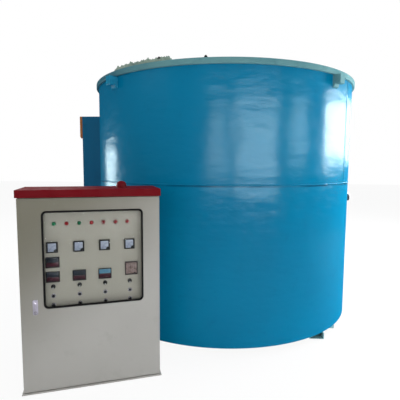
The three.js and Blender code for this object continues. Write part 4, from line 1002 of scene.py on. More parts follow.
def declared(piece: bpy.types.Object, node: str, body: str) -> None:
    """Tells the frame what a piece is.

    Args:
        piece: The piece.
        node: The CAD node that it replaces, if it does.
        body: The body that it rides on.
    """
    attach(piece, str(body))
    if node:
        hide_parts(node)
    log.info("%s: %d faces", piece.name, len(piece.data.polygons))


def add_piece(
    name: str, surface: Surface, finish: Finish, node: str = "", body: str = Body.FURNACE,
    angle: float = SHARP_ANGLE,
) -> None:
    """Makes an object of a surface and gives it its finish, its body and the node that it replaces.

    Args:
        name: The piece's name.
        surface: Its surface, in the row frame.
        finish: Its finish.
        node: The CAD node that it replaces, if it does.
        body: The body that it rides on.
        angle: Edges that turn by more degrees stay sharp.
    """
    declared(hung(as_mesh(name, surface), finish, angle, SMOOTH_CORNERS), node, body)


def refined(
    node: str, finish: Finish, width: float, body: str = Body.FURNACE, segments: int = 3
) -> None:
    """Adds a copy of a CAD node with its seams welded, its flats joined and its edges rounded.

    Args:
        node: The CAD node, which the copy replaces.
        finish: The piece's finish.
        width: The rounding of its edges.
        body: The body that it rides on.
        segments: Steps of the rounding.
    """
    mesh = frame["nodes"][node].data.copy()
    mesh.name = node + "_rounded"
    welded(mesh, NODE_SEAM_GAP, FLAT_ANGLE)
    piece = hung(mesh, finish, ROUNDED_ANGLE, NODE_SMOOTH_CORNERS)
    bevel = piece.modifiers.new("rounding", "BEVEL")
    bevel.width = width
    bevel.segments = segments
    bevel.limit_method = "ANGLE"
    bevel.angle_limit = math.radians(ROUNDED_ANGLE)
    bevel.use_clamp_overlap = True
    bevel.harden_normals = True
    declared(piece, node, body)


# Furnace


@dataclass(frozen=True)
class Dent:
    """A shallow hollow in the shell: its azimuth and height, its half widths and its depth."""

    azimuth: float
    height: float
    wide: float
    tall: float
    depth: float


@dataclass(frozen=True)
class Shell:
    """The rolled shell with its welds, its flange, its lifting lugs and the frame below."""

    radius: float = 1.460
    wall: float = 0.008
    bottom: float = 0.060
    top: float = 2.515
    seam: float = GIRTH_SEAM
    seam_draw: float = 0.0015
    seam_spread: float = 0.05
    seam_clear: float = 0.004
    foot_clear: float = 0.006
    ripple: float = 0.0006
    girth_root: float = 0.002
    girth_heights: Triple = (0.0022, 0.0026, 0.0005)
    girth_widths: Triple = (0.0065, 0.0015, 0.0008)
    girth_wander: float = 0.0025
    girth_highest: float = 28.0
    upright_root: float = 0.003
    upright_heights: Triple = (0.0030, 0.0006, 0.0006)
    upright_widths: Pair = (0.0062, 0.0010)
    upright_taper: float = 0.03
    lower_seam_azimuth: float = 205.0
    upper_seam_azimuth: float = 57.0
    flange_radius: float = 1.485
    flange_top: float = 2.567
    flange_plate: float = 0.016
    flange_lap: float = 0.030
    throat: float = 1.110
    edge: float = 0.012
    stud_radius: float = 1.462
    stud_length: float = 0.020
    stud_half: float = 0.0075
    washer: Pair = (0.017, 0.003)
    nut: Pair = (0.0135, 0.011)
    studs: tuple[Pair, ...] = ((-22.2, 0.020), (-5.7, 0.0))
    strip_azimuths: Pair = (-44.3, -17.7)
    strip_radius: float = 1.4775
    strip_height: float = 0.0330
    strip_wave: float = 0.0110
    strip_width: float = 0.070
    strip_sunk: float = 0.006
    lugs: tuple[tuple[str, float, Paint], ...] = (
        ("front_right", 45.0, FLANGE_GREY),
        ("rear_right", 135.0, FITTINGS_BLUE),
        ("rear_left", 225.0, FITTINGS_BLUE),
        ("front_left", 315.0, FITTINGS_BLUE),
    )
    lug_half: float = 0.0415
    lug_bead_radius: float = 0.0052
    lug_bead_sunk: float = 0.0015
    lug_span: Pair = (2.405, 2.512)
    dents: tuple[Dent, ...] = (
        Dent(-8, 2.10, 5.0, 0.26, 0.0035),
        Dent(4, 1.96, 3.5, 0.20, 0.0040),
        Dent(12, 2.16, 5.0, 0.17, 0.0030),
        Dent(24, 1.86, 5.0, 0.30, 0.0035),
        Dent(33, 2.12, 4.0, 0.22, 0.0030),
        Dent(-26, 2.02, 6.0, 0.30, 0.0030),
        Dent(-38, 1.80, 5.0, 0.26, 0.0030),
        Dent(42, 1.20, 8.0, 0.22, 0.0020),
        Dent(-12, 0.95, 9.0, 0.30, 0.0020),
        Dent(16, 0.62, 8.0, 0.22, 0.0020),
        Dent(110, 1.9, 8.0, 0.40, 0.0030),
        Dent(150, 1.1, 9.0, 0.35, 0.0030),
        Dent(-95, 2.30, 6.0, 0.10, 0.0020),
        Dent(205, 2.0, 8.0, 0.30, 0.0030),
    )

    def relief(self, azimuth: Array, height: Array) -> Array:
        """How far the rolled wall lies in from the true cylinder.

        Each dent takes its depth times exp(-((azimuth off / wide)^2 + (height off / tall)^2)), the plates
        ripple by a few slow sine waves, and both courses draw in by 1.5 mm at the girth weld.

        Args:
            azimuth: Degrees about the axis.
            height: Height above the floor.

        Returns:
            The depth, in metres.
        """
        depth = self.seam_draw * np.exp(-(((height - self.seam) / self.seam_spread) ** 2))
        for dent in self.dents:
            off = (azimuth - dent.azimuth + 180) % 360 - 180
            depth = depth + dent.depth * np.exp(-((off / dent.wide) ** 2) - ((height - dent.height) / dent.tall) ** 2)
        a = np.radians(azimuth)
        rise = (height - self.bottom) / (self.top - self.bottom)
        fade = np.sin(np.pi * rise)
        ripple = np.sin(9 * a + 4.2 * rise) + 0.7 * np.sin(17 * a - 7.0 * rise + 1.0) + 0.5 * np.sin(5 * a + 11 * rise)
        return depth + self.ripple * fade * (ripple + 1.3)

    def wall_surface(self) -> Surface:
        """The wall: radius less the relief, at each azimuth and height, closed round its thickness.

        Returns:
            The wall.
        """
        heights = np.linspace(self.bottom, self.top, 150)
        azimuth = np.linspace(0, 360, 480, endpoint=False)
        outer = self.radius - self.relief(azimuth[None, :], heights[:, None])
        inner = np.full((2, len(azimuth)), self.radius - self.wall)
        height = np.concatenate([heights, [self.top, self.bottom]])
        return grid(around(np.vstack([outer, inner]), np.radians(azimuth), height[:, None]), wrap_rows=True)

    def girth_bead(self) -> Surface:
        """The girth weld: a low arch carried round the seam.

        The arch is width * cos t across and height * sin t out from its root in the wall; its height
        swells and sinks with the azimuth, and short ripples follow the welder's stops.

        Returns:
            The bead.
        """
        azimuth = np.linspace(0, 360, 900, endpoint=False)
        a = np.radians(azimuth)
        low, swell, ripple = self.girth_heights
        half, slow, quick = self.girth_widths
        lean = 0.5 + 0.5 * np.cos(a - math.radians(self.girth_highest))
        high = low + swell * lean + ripple * np.sin(140 * a + 2 * np.sin(9 * a))
        wide = half + slow * np.sin(11 * a + 0.6) + quick * np.sin(46 * a)
        turn = np.linspace(0, np.pi, 9)[:, None]
        base = self.radius - self.relief(azimuth, np.full_like(azimuth, self.seam)) - self.girth_root
        height = self.seam - wide * np.cos(turn) + self.girth_wander * np.sin(3 * a + 0.8)
        return grid(around(base + (high + self.girth_root) * np.sin(turn), a, height), wrap_rows=True)

    def upright_bead(self, azimuth: float, low: float, high: float) -> Surface:
        """A vertical weld: the same arch carried up the wall, tapered at its ends.

        Args:
            azimuth: Degrees about the axis.
            low: The height of its foot.
            high: The height of its top.

        Returns:
            The bead.
        """
        z = np.linspace(low, high, 220)
        reach = np.sqrt(np.clip(np.minimum(z - low, high - z) / self.upright_taper, 0, 1))
        middle, ripple, least = self.upright_heights
        tall = reach * (middle + ripple * np.sin(z * 620)) + least
        wide = self.upright_widths[0] + self.upright_widths[1] * np.sin(z * 60)
        turn, root = np.linspace(0, np.pi, 9)[:, None], self.upright_root
        a = math.radians(azimuth) + wide * np.cos(turn) / self.radius
        depth = self.relief(np.full_like(z, azimuth), z)
        points = around(self.radius - depth - root + (tall + root) * np.sin(turn), a, z)
        return grid(points.transpose(1, 0, 2)[:, ::-1], caps=True)

    def flange_surface(self) -> Surface:
        """The flange: a rolled rim under a flat cover plate, as one closed profile turned about the axis.

        Returns:
            The flange.
        """
        low, high, out = self.top, self.flange_top, self.flange_radius
        under, lap = high - self.flange_plate, self.radius - self.flange_lap
        corners = [
            (lap, low), (out - 0.004, low), (out, low + 0.006), (out, high), (self.throat, high),
            (self.throat, under), (lap, under), (lap, low),
        ]
        return turned(corners, [0, 0.003, 0.008, self.edge, 0.004, 0.002, 0.002, 0], 5, 360, closed=True)

    def stud(self, azimuth: float, lift: float) -> Surface:
        """A short bolt left in the rim: a washer, a nut's six sides and the thread's end, lifted by the fibre.

        Args:
            azimuth: Degrees about the axis.
            lift: How far the fibre under it raises it.

        Returns:
            The stud.
        """
        washer = disc(self.washer[0], 28, self.washer[1], 0.001)
        nut = disc(self.nut[0], 6, self.nut[1], 0.002, (0, 0, self.washer[1]))
        shank = disc(self.stud_half, 18, self.stud_length + lift, 0.002, (0, 0, -lift))
        place = around(self.stud_radius, math.radians(azimuth), self.flange_top + lift)
        return joined(washer, nut, shank).moved(*place)

    def fibre_strip(self) -> Surface:
        """A frayed edge of the lid's seal that lies over the rim.

        Its top stands 22 to 44 mm proud and its outer edge wanders, both by sums of sine waves of
        uneven pitch; its section is an arch that is steep at its outer side.

        Returns:
            The strip.
        """
        low, high = self.strip_azimuths
        azimuth = np.linspace(low, high, 320)[:, None]
        t = (azimuth - low) / (high - low)
        ends = np.clip(np.minimum(t, 1 - t) / 0.04, 0, 1) ** 0.5
        waves = np.sin(41 * t) * 0.3 + np.sin(97 * t + 1) * 0.3 + np.sin(211 * t + 2) * 0.25 + np.sin(23 * t) * 0.3
        tall = (self.strip_height + self.strip_wave * waves) * ends + 0.0004
        out = self.strip_radius + 0.0015 * np.sin(63 * t + 0.5) + 0.001 * np.sin(151 * t)
        wide = self.strip_width + 0.010 * np.sin(17 * t)
        turn = np.linspace(0, np.pi, 13)
        lumps = 1 + 0.18 * np.sin(5 * turn + 60 * t)
        height = self.flange_top - self.strip_sunk + (tall + self.strip_sunk) * np.sin(turn) ** 0.6 * lumps
        points = around(out - wide * (1 - np.cos(turn)) / 2, np.radians(azimuth), height)
        return grid(points[:, ::-1], caps=True)

    def lug_bead(self, azimuth: float) -> Surface:
        """The weld down both sides of a lug: a rope of 5 mm radius swelled by a ripple.

        Args:
            azimuth: Where the lug stands, in degrees about the axis.

        Returns:
            Both beads.
        """
        a = math.radians(azimuth)
        z = np.linspace(*self.lug_span, 90)
        swell = 1 + 0.14 * np.sin(z * 900)
        turns = [a + side * self.lug_half / self.radius for side in (-1, 1)]
        paths = [around(self.radius - self.lug_bead_sunk, turn, z) for turn in turns]
        rope = ring_of(self.lug_bead_radius, 10)
        return joined(*(swept(path, rope, around(1.0, a, 0.0), swell) for path in paths))

    def build(self) -> None:
        """Builds and dresses the shell's pieces."""
        add_piece("shell_skin", self.wall_surface(), SHELL_BLUE, "shell", angle=50)
        add_piece("girth_weld", self.girth_bead(), SHELL_BLUE)
        uprights = joined(
            self.upright_bead(self.upper_seam_azimuth, self.seam + self.seam_clear, self.top - self.seam_clear),
            self.upright_bead(self.lower_seam_azimuth, self.bottom + self.foot_clear, self.seam - self.seam_clear),
        )
        add_piece("upright_welds", uprights, SHELL_BLUE)
        add_piece("flange_rim", self.flange_surface(), FLANGE_GREY, "mouth_flange")
        studs = joined(*(self.stud(azimuth, lift) for azimuth, lift in self.studs))
        add_piece("flange_studs", studs, GASKET_RUBBER)
        add_piece("frayed_seal_edge", self.fibre_strip(), FRAYED_FIBRE)
        for place, _, paint in self.lugs:
            refined("lifting_lug_" + place, paint, 0.004)
        beads = joined(*(self.lug_bead(azimuth) for _, azimuth, _ in self.lugs))
        add_piece("lug_welds", beads, FITTINGS_BLUE)
        refined("base_frame", FRAME_PAINT, 0.003)
        dressed(frame["nodes"]["bottom_plate"].data, FRAME_PAINT)


@dataclass(frozen=True)
class Chamber:
    """The hot space: brickwork, hearth, elements with their leads, and thermocouples."""

    outer: float = 1.2297
    radius: float = 1.110
    ledge: float = 1.040
    ledge_tops: Triple = (0.447, 1.037, 1.627)
    ledge_thickness: float = 0.040
    floor: float = 0.400
    top: float = 2.551
    element_radius: float = 1.075
    element_height: float = 0.500
    element_clear: float = 0.0003
    bar: float = 0.020
    bar_corner: float = 0.004
    loops: int = 18
    bend: float = 0.045
    lead_radius: float = 0.012
    lead_end: float = 1.610
    lead_drop: float = 0.004
    lead_nut: float = 0.0195
    lead_nut_height: float = 0.014
    lead_nut_back: float = 0.05
    lead_spread: float = 0.180
    lead_azimuth: float = 270.0
    thermocouple_azimuths: Triple = (108.0, 96.5, 108.0)
    thermocouple_heights: Triple = (0.697, 1.287, 1.877)
    thermocouple_seat: float = 1.4675
    screw_circle: float = 0.034
    screw_turns: Triple = (0.8, 2.9, 5.0)
    ear_spread: float = 0.028
    ear_place: float = 1.614
    zones: tuple[str, str, str] = ("lower", "middle", "upper")

    def wall_surface(self) -> Surface:
        """The brick wall: one closed profile with its ledges, turned about the axis.

        Returns:
            The wall.
        """
        run = [(self.outer, self.floor), (self.outer, self.top), (self.radius, self.top)]
        for top in self.ledge_tops[::-1]:
            run += [(self.radius, top), (self.ledge, top)]
            if top > self.ledge_tops[0]:
                run += [(self.ledge, top - self.ledge_thickness), (self.radius, top - self.ledge_thickness)]
        run += [(self.ledge, self.floor), (self.outer, self.floor)]
        return turned(run, [0.0] + [0.003] * (len(run) - 2) + [0.0], 2, 240, closed=True)

    def element_route(self, bottom: float, top: float) -> Array:
        """The path of one element: up and down round the wall, with round bends at the top and bottom.

        The path is drawn flat, as distance along the wall and height, then the distance becomes an
        angle: the distance over the radius.

        Args:
            bottom: The height of the lower bends' outsides.
            top: The height of the upper bends' outsides.

        Returns:
            The stations, one a row.
        """
        gap = math.asin(self.lead_spread / 2 / self.element_radius)
        pitch = (2 * math.pi - 2 * gap) / (2 * self.loops - 1)
        flat = []
        for i in range(2 * self.loops):
            x = i * pitch * self.element_radius
            flat += [(x, bottom), (x, top)] if i % 2 else [(x, top), (x, bottom)]
        run = filleted(flat, [0.0] + [self.bend] * (len(flat) - 2) + [0.0], 6)
        start = math.radians(self.lead_azimuth) + gap
        return around(self.element_radius, start + run[:, 0] / self.element_radius, run[:, 1])

    def element(self, zone: int) -> Surface:
        """One zone's element: a rounded square bar along its route, and its two lead rods.

        Args:
            zone: The zone's number, from nought at the bottom.

        Returns:
            The element.
        """
        bottom = self.ledge_tops[zone] + self.element_clear + self.bar / 2
        top = self.ledge_tops[zone] + self.element_height - self.bar / 2
        route = self.element_route(bottom, top)
        inward = -route * [1, 1, 0]
        inward /= np.linalg.norm(inward, axis=1, keepdims=True)
        bar = swept(route, rounded_rectangle(self.bar, self.bar, self.bar_corner, 2), inward)
        length = self.lead_end - self.element_radius
        nut = disc(self.lead_nut, 6, self.lead_nut_height, 0.002, (0, 0, length - self.lead_nut_back))
        rod = joined(disc(self.lead_radius, 20, length, 0.002), nut)
        rods = [rod.moved(side * self.lead_spread / 2, 0, self.element_radius) for side in (-1, 1)]
        return joined(bar, *(to_radial(rod, self.lead_azimuth, top - self.lead_drop) for rod in rods))

    def thermocouple(self, zone: int) -> Surface:
        """A thermocouple: sheath, plate, hexagon, neck, cast head and screwed cap, turned about its own axis.

        Args:
            zone: The zone's number, from nought at the bottom.

        Returns:
            The thermocouple.
        """
        body = turned(
            [
                (0.0, 1.000), (0.012, 1.000), (0.012, 1.4603), (0.042, 1.4603), (0.042, 1.4683), (0.0125, 1.4683),
                (0.0125, 1.5433), (0.026, 1.5433), (0.038, 1.555), (0.038, 1.6113), (0.0435, 1.6113),
                (0.0435, 1.6230), (0.0, 1.6233),
            ],
            [0, 0.003, 0, 0.002, 0.002, 0, 0, 0.004, 0.004, 0, 0.0015, 0.003, 0], 3, 36,
        )
        seat, out = self.thermocouple_seat, self.screw_circle
        screws = [
            disc(0.005, 14, 0.006, 0.001, (out * math.cos(a), out * math.sin(a), seat)) for a in self.screw_turns
        ]
        ears = [disc(0.0078, 14, 0.016, 0.002, (0, side * self.ear_spread, self.ear_place)) for side in (-1, 1)]
        whole = joined(body, *screws, *ears, disc(0.021, 6, 0.016, 0.002, (0, 0, seat)))
        return to_radial(whole, self.thermocouple_azimuths[zone], self.thermocouple_heights[zone])

    def build(self) -> None:
        """Builds and dresses the chamber's pieces."""
        add_piece("brick_wall", self.wall_surface(), FIREBRICK, "brick_lining")
        dressed(frame["nodes"]["floor_bricks"].data, FIREBRICK)
        dressed(frame["nodes"]["wall_insulation"].data, CERAMIC_FIBRE)
        refined("hearth_plate", CAST_HEARTH, 0.005)
        for i, zone in enumerate(self.zones):
            name = "heating_element_" + zone
            add_piece("bent_" + name, self.element(i), ELEMENT_ALLOY, name, angle=50)
            refined("lead_block_" + zone, LEAD_CERAMIC, 0.004)
            name = "thermocouple_" + zone
            add_piece("turned_" + name, self.thermocouple(i), HEAD_ENAMEL, name)


@dataclass(frozen=True)
class TerminalBox:
    """The box over the leads on the left side, with its board and hinged cover."""

    face: float = -1.694
    clear: float = 0.0006
    half: float = 0.180
    bottom: float = 0.350
    cover_top: float = 1.991
    screw_inset: float = 0.014
    screw_margin: float = 0.09

    def screws(self) -> Surface:
        """The screws on the cover's free edge: pan heads, facing the left.

        Returns:
            The screws.
        """
        heights = np.linspace(self.bottom + self.screw_margin, self.cover_top - self.screw_margin, 5)
        head = turned([(0.0095, 0.0), (0.0095, 0.003), (0.0, 0.0052)], [0, 0.002, 0], 4, 24)
        screw = head.mapped(lambda p: np.stack([-p[:, 2], -p[:, 0], p[:, 1]], -1))
        return joined(*(screw.moved(self.face + self.clear, self.screw_inset - self.half, z) for z in heights))

    def build(self) -> None:
        """Builds and dresses the terminal box's pieces."""
        refined("terminal_box", TERMINAL_BLUE, 0.002)
        refined("terminal_cover", TERMINAL_BLUE, 0.0018, Body.TERMINAL_COVER)
        refined("terminal_board", TERMINAL_BOARD, 0.002)
        add_piece("cover_screws", self.screws(), ZINC_SCREWS, body=Body.TERMINAL_COVER)


@dataclass(frozen=True)
class Lid:
    """The lift-off lid: plug, seal and ribbed plate with its eye."""

    plug_radius: float = 1.080
    plug_low: float = 2.337
    plate_low: float = 2.587
    seal_inner: float = 1.130
    seal_outer: float = 1.320
    seal_low: float = 2.567
    chamfer: float = 0.040

    def plug_surface(self) -> Surface:
        """The plug: a disc of fibre with a chamfered foot, turned about the axis.

        Returns:
            The plug.
        """
        corners = [
            (0.0, self.plug_low), (self.plug_radius - self.chamfer, self.plug_low),
            (self.plug_radius, self.plug_low + self.chamfer), (self.plug_radius, self.plate_low), (0.0, self.plate_low),
        ]
        return turned(corners, [0, 0.012, 0.012, 0.004, 0], 4, 200)

    def seal_surface(self) -> Surface:
        """The seal: a flat fibre ring that bulges at both edges, turned about the axis.

        Returns:
            The seal.
        """
        low, high, inner, outer = self.seal_low, self.plate_low, self.seal_inner, self.seal_outer
        corners = [(inner, low), (outer, low), (outer, high), (inner, high), (inner, low)]
        return turned(corners, [0, 0.007, 0.007, 0.007, 0], 4, 220, closed=True)

    def build(self) -> None:
        """Builds and dresses the lid's pieces."""
        refined("lid_plate", FITTINGS_BLUE, 0.003, Body.LID)
        refined("lid_lifting_eye", WORKED_STEEL, 0.006, Body.LID)
        add_piece("turned_plug", self.plug_surface(), CERAMIC_FIBRE, "lid_plug", Body.LID)
        add_piece("turned_seal", self.seal_surface(), CERAMIC_FIBRE, "lid_seal")


# Control cabinet


@dataclass(frozen=True)
class CabinetFrame:
    """Where the cabinet stands: its own x runs right along its face, y into it and z up."""

    x: float = -1.4225
    y: float = -2.1313
    angle: float = 19.3

    def place(self, surface: Surface) -> Surface:
        """Turns a surface about the vertical by the cabinet's angle and shifts it to its corner.

        Args:
            surface: A surface in the cabinet's own axes.

        Returns:
            The surface where it stands.
        """
        a = math.radians(self.angle)
        turn = np.array([[math.cos(a), -math.sin(a), 0.0], [math.sin(a), math.cos(a), 0.0], [0.0, 0.0, 1.0]])
        return surface.mapped(lambda p: p @ turn.T + np.array([self.x, self.y, 0.0]))

    def on_face(self, surface: Surface, x: float, z: float, depth: float) -> Surface:
        """Stands a surface built upward on an upright plane of the cabinet, facing its front."""
        return self.place(to_front(surface).moved(x, depth, z))


@dataclass(frozen=True)
class Cabinet:
    """The cabinet's case, base and cap."""

    frame: CabinetFrame
    cap_top: float = 1.500
    beacon_x: float = 0.730
    beacon_y: float = 0.200
    beacon_radius: float = 0.042
    beacon_height: float = 0.052
    collar_height: float = 0.014
    clear: float = 0.0003

    def beacon_surface(self) -> Surface:
        """The beacon: a short collar under a dome, turned about its own axis.

        Returns:
            The beacon.
        """
        r, foot = self.beacon_radius, self.collar_height
        t = np.linspace(0, np.pi / 2, 18)
        dome = np.stack([(r - 0.002) * np.cos(t) ** 0.8, foot + (self.beacon_height - foot) * np.sin(t)], -1)
        dome[-1, 0] = 0.0
        collar = [(0.0, self.clear), (r, self.clear), (r, 0.009), (r - 0.001, 0.0105), (r - 0.002, 0.0115)]
        return self.frame.place(lathe(np.vstack([collar, dome]), 48).moved(self.beacon_x, self.beacon_y, self.cap_top))

    def build(self) -> None:
        """Builds and dresses the case's pieces."""
        refined("cabinet_base", CABINET_ENAMEL, 0.002)
        refined("cabinet_body", CABINET_ENAMEL, 0.0012)
        refined("cabinet_cap", CAP_RED, 0.003)
        add_piece("beacon_dome", self.beacon_surface(), BEACON_RED, "cap_beacon")


@dataclass(frozen=True)
class Door:
    """The door with its window and its lock."""

    frame: CabinetFrame
    left: float = 0.155
    right: float = 0.875
    bottom: float = 0.632
    top: float = 1.350
    corner: float = 0.035
    gasket: float = 0.014
    gasket_back: float = -0.0070
    groove: float = 0.0016
    bead_middle: float = 0.0068
    bead_half: float = 0.0048
    bead_inner: float = 0.0076
    lip: float = 0.003
    clear: float = 0.0003
    glass_inset: float = 0.0108
    glass_back: float = 0.0039
    glass: float = 0.0038
    lock_x: float = 0.099
    lock_z: float = 0.652
    key_drop: float = 0.042
    spindle_z: float = 0.682
    key_rise: float = -0.0045
    key_radius: float = 0.0115
    key_slot: Pair = (0.0024, 0.011)
    lever_axis: float = -0.0096
    lever_above: float = 0.0045
    lever_length: float = 0.0625
    lever_thick: Pair = (0.0090, 0.0035)
    lever_wide: Pair = (0.0180, 0.0030)
    lever_front: Pair = (-0.0045, 0.0015)

    def outline(self, by: float) -> Array:
        """The window's round-cornered outline about its middle, moved in by a distance."""
        width, height = self.right - self.left - 2 * by, self.top - self.bottom - 2 * by
        return rounded_rectangle(width, height, self.corner - by * 0.8, 10)

    def gasket_surface(self) -> Surface:
        """The rubber section carried round the window: an outer lip, a groove line and a rounded bead.

        Returns:
            The gasket.
        """
        foot, back, wide, inner = self.clear, self.gasket_back, self.gasket, self.bead_inner
        middle, half, rise = self.bead_middle, self.bead_half, self.lip - self.clear
        bead = [(middle - half * math.cos(t), foot + rise * math.sin(t)) for t in np.linspace(0, np.pi, 9)]
        tail = [(wide - 0.0004, self.groove), (wide, foot), (wide, back), (inner, back), (inner, -0.0002)]
        section = [(0.0, foot), (0.0004, 0.0013), (0.0014, self.groove), *bead, *tail]
        return grid(np.stack([level(self.outline(i), u) for i, u in section]), wrap_rows=True)

    def lever_surface(self) -> Surface:
        """The lock's lever: a flat bar, round at its pivot, thinner and narrower at its free end.

        Its thickness and its width fall, and its front leans, in proportion to the way along it.

        Returns:
            The lever.
        """
        t = np.linspace(0, 1, 30)[:, None]
        thick = self.lever_thick[0] - self.lever_thick[1] * t
        wide = self.lever_wide[0] - self.lever_wide[1] * t
        front = self.lever_front[0] + self.lever_front[1] * t
        nearest = np.minimum(np.clip(t / 0.06, 0, 1), np.clip((1 - t) / 0.05, 0, 1))
        size = np.sqrt(1 - (1 - nearest) ** 2) * 0.55 + 0.45
        section = rounded_rectangle(1.0, 1.0, 0.22, 3)
        x = section[:, 0] * (wide * size)
        y = front + (section[:, 1] + 0.5) * (thick * size) + (1 - size) * 0.003
        points = np.stack(np.broadcast_arrays(x, y, self.lever_above - self.lever_length * t), -1)
        return grid(points[::-1], caps=True).moved(self.lock_x, self.lever_axis, self.spindle_z)

    def build(self) -> None:
        """Builds and dresses the door's pieces."""
        middle = (self.left + self.right) / 2, (self.bottom + self.top) / 2
        refined("cabinet_door", CABINET_ENAMEL, 0.0022, Body.DOOR, 4)
        gasket = self.frame.on_face(self.gasket_surface(), *middle, 0.0)
        add_piece("rubber_section", gasket, GASKET_RUBBER, "window_gasket", Body.DOOR)
        pane = self.frame.on_face(plate(self.outline(self.glass_inset), self.glass, 0.0004), *middle, self.glass_back)
        add_piece("window_pane", pane, WINDOW_PANE, "window_glass", Body.DOOR, 30)
        refined("lock_plate", LOCK_CHROME, 0.0008, Body.DOOR)
        refined("lock_cam", WORKED_STEEL, 0.0006, Body.LOCK_SPINDLE)
        slot = slab(*self.key_slot, 0.0010, 3, 0.0002, 0.0001, (0, 0, 0.0031))
        key = joined(disc(self.key_radius, 32, 0.0012, 0.0005), slot)
        key = self.frame.on_face(key, self.lock_x, self.lock_z - self.key_drop, self.key_rise)
        add_piece("key_rose", key, BLACK_PLASTIC, body=Body.DOOR)
        lever = self.frame.place(self.lever_surface())
        add_piece("bent_lever", lever, LOCK_CHROME, "lock_lever", Body.LOCK_LEVER)


@dataclass(frozen=True)
class Panel:
    """The sheet behind the window with its lamps, meters, instruments, selectors and buttons."""

    frame: CabinetFrame
    depth: float = 0.050
    sheet: float = 0.003
    sheet_low: Pair = (0.0033, 0.0116)
    sheet_high: Pair = (0.9967, 1.4417)
    rim: float = 0.030
    columns: tuple[float, ...] = (0.2180, 0.4033, 0.5887, 0.7740)
    clear: float = 0.0003
    frame_clear: float = 0.0002
    hole_clear: float = 0.001
    lamp_first: float = 0.235
    lamp_pitch: float = 0.0875
    lamp_z: float = 1.249
    lamp_colours: str = "GRGRRRR"
    lamp_ribs: int = 20
    meter_z: float = 1.075
    meter_side: float = 0.080
    meter_corner: float = 0.005
    meter_opening: Pair = (0.0570, 0.0620)
    meter_rise: float = 0.0138
    barrel: float = 0.0298
    barrel_depth: float = 0.045
    scale_corner: Pair = (0.0285, -0.0310)
    scale_rise: float = 0.0101
    scale_span: Pair = (97.0, 173.0)
    scale_dark: float = 0.018
    scale_arc: float = 0.0440
    tick_circle: float = 0.048
    tick_lengths: Pair = (0.0042, 0.0070)
    pointer: float = 0.046
    pointer_rise: float = 0.0112
    controllers: tuple[tuple[float, float, Plastic], ...] = (
        (0.2180, 0.963, DISPLAY_SLATE),
        (0.2180, 0.854, DISPLAY_SLATE),
        (0.4033, 0.854, DISPLAY_SLATE),
        (0.5887, 0.854, DISPLAY_BLUE),
    )
    instrument_width: float = 0.096
    instrument_rise: float = 0.0098
    lip: float = 0.001
    box_width: float = 0.0856
    box_less: float = 0.0104
    box_depth: float = 0.0700
    window_back: float = 0.0046
    controller_height: float = 0.080
    controller_opening: Pair = (0.0860, 0.0700)
    key_size: Pair = (0.0105, 0.0055)
    key_pitch: float = 0.015
    recorder: Pair = (0.787, 0.882)
    recorder_height: float = 0.104
    recorder_opening: Pair = (0.0820, 0.0860)
    chart_line: float = 0.0008
    chart_rise: float = 0.0075
    selector_z: float = 0.781
    selector_flutes: int = 9
    grip: Pair = (0.0088, 0.0268)
    grip_rise: float = 0.0196
    shaft: float = 0.0049
    shaft_hole: float = 0.0053
    shaft_back: float = -0.0139
    start_z: float = 0.710
    stop_z: float = 0.640
    collar_teeth: int = 40
    button: float = 0.0108
    button_back: float = 0.0045

    def add(
        self, name: str, surface: Surface, places: list[Pair], finish: Finish, slot: str = "black_plastic",
        node: str = "", body: str = Body.FURNACE,
    ) -> None:
        """Adds a piece made of a surface, built upward, at each of some places on the sheet.

        Args:
            name: The piece's name.
            surface: The surface.
            places: How far right along the cabinet and how high each copy stands.
            finish: The piece's finish.
            slot: Not used.
            node: The CAD node that it replaces, if it does.
            body: The body that it rides on.
        """
        copies = [self.frame.on_face(surface, x, z, self.depth) for x, z in places]
        add_piece(name, joined(*copies), finish, node, body)

    def sheet_surface(self) -> Surface:
        """The sheet with its holes and its turned-back rim: a tray seen from its flat side.

        Returns:
            The sheet.
        """
        low, high = np.array(self.sheet_low), np.array(self.sheet_high)
        middle, size = (low + high) / 2, high - low
        outer, t = rounded_rectangle(*size, 0.004, 3), self.sheet
        section = [
            (t, -t), (t, 0.0001 - self.rim), (t, -self.rim), (0.0, -self.rim), (0.0, -t), (0.0009, -0.0009), (t, 0.0)
        ]
        rim = np.stack([level(inset(outer, i), u) for i, u in section])
        gap, shaft = self.hole_clear, ring_of(self.shaft_hole, 16)
        box, larger = (
            rounded_rectangle(self.box_width + gap, height - self.box_less + gap, 0.002, 2)
            for height in (self.controller_height, self.recorder_height)
        )
        holes = [ring_of(self.barrel + gap / 2, 40) + (x, self.meter_z) for x in self.columns]
        holes += [box + (x, z) for x, z, _ in self.controllers]
        holes.append(larger + self.recorder)
        holes += [shaft + (x, z) for x in self.columns for z in (self.selector_z, self.start_z, self.stop_z)]
        face = pierced(rim[-1][:, :2], [hole - middle for hole in holes], t)
        return joined(face, grid(rim)).moved(*middle, 0)

    def build_lamps(self) -> None:
        """Adds the row of signal lamps: stepped bezels, and ribbed caps with round crowns."""
        bezel = [(0.0, 0.0), (0.0168, 0.0), (0.0168, 0.0035), (0.0155, 0.0052), (0.0150, 0.0040), (0.0, 0.0040)]
        places = [(self.lamp_first + i * self.lamp_pitch, self.lamp_z) for i in range(len(self.lamp_colours))]
        self.add("lamp_bezels", turned(bezel, [0, 0, 0.0012, 0.0006, 0, 0], 3, 40), places, BEZEL_GREY, "panel_paint")
        cap = np.array(
            [(0.0147, 0.004), (0.0147, 0.0092), (0.0138, 0.0124), (0.0108, 0.0150), (0.0058, 0.0165), (0.0, 0.0170)]
        )
        lens = lathe(cap, 80, rows=slice(2), flutes=lambda turn: 1 + 0.022 * np.cos(self.lamp_ribs * turn))
        for letter, name, finish in (("G", "green_lamps", GREEN_LENS), ("R", "red_lamps", RED_LENS)):
            chosen = [place for place, colour in zip(places, self.lamp_colours) if colour == letter]
            self.add(name, lens, chosen, finish, "panel_paint")

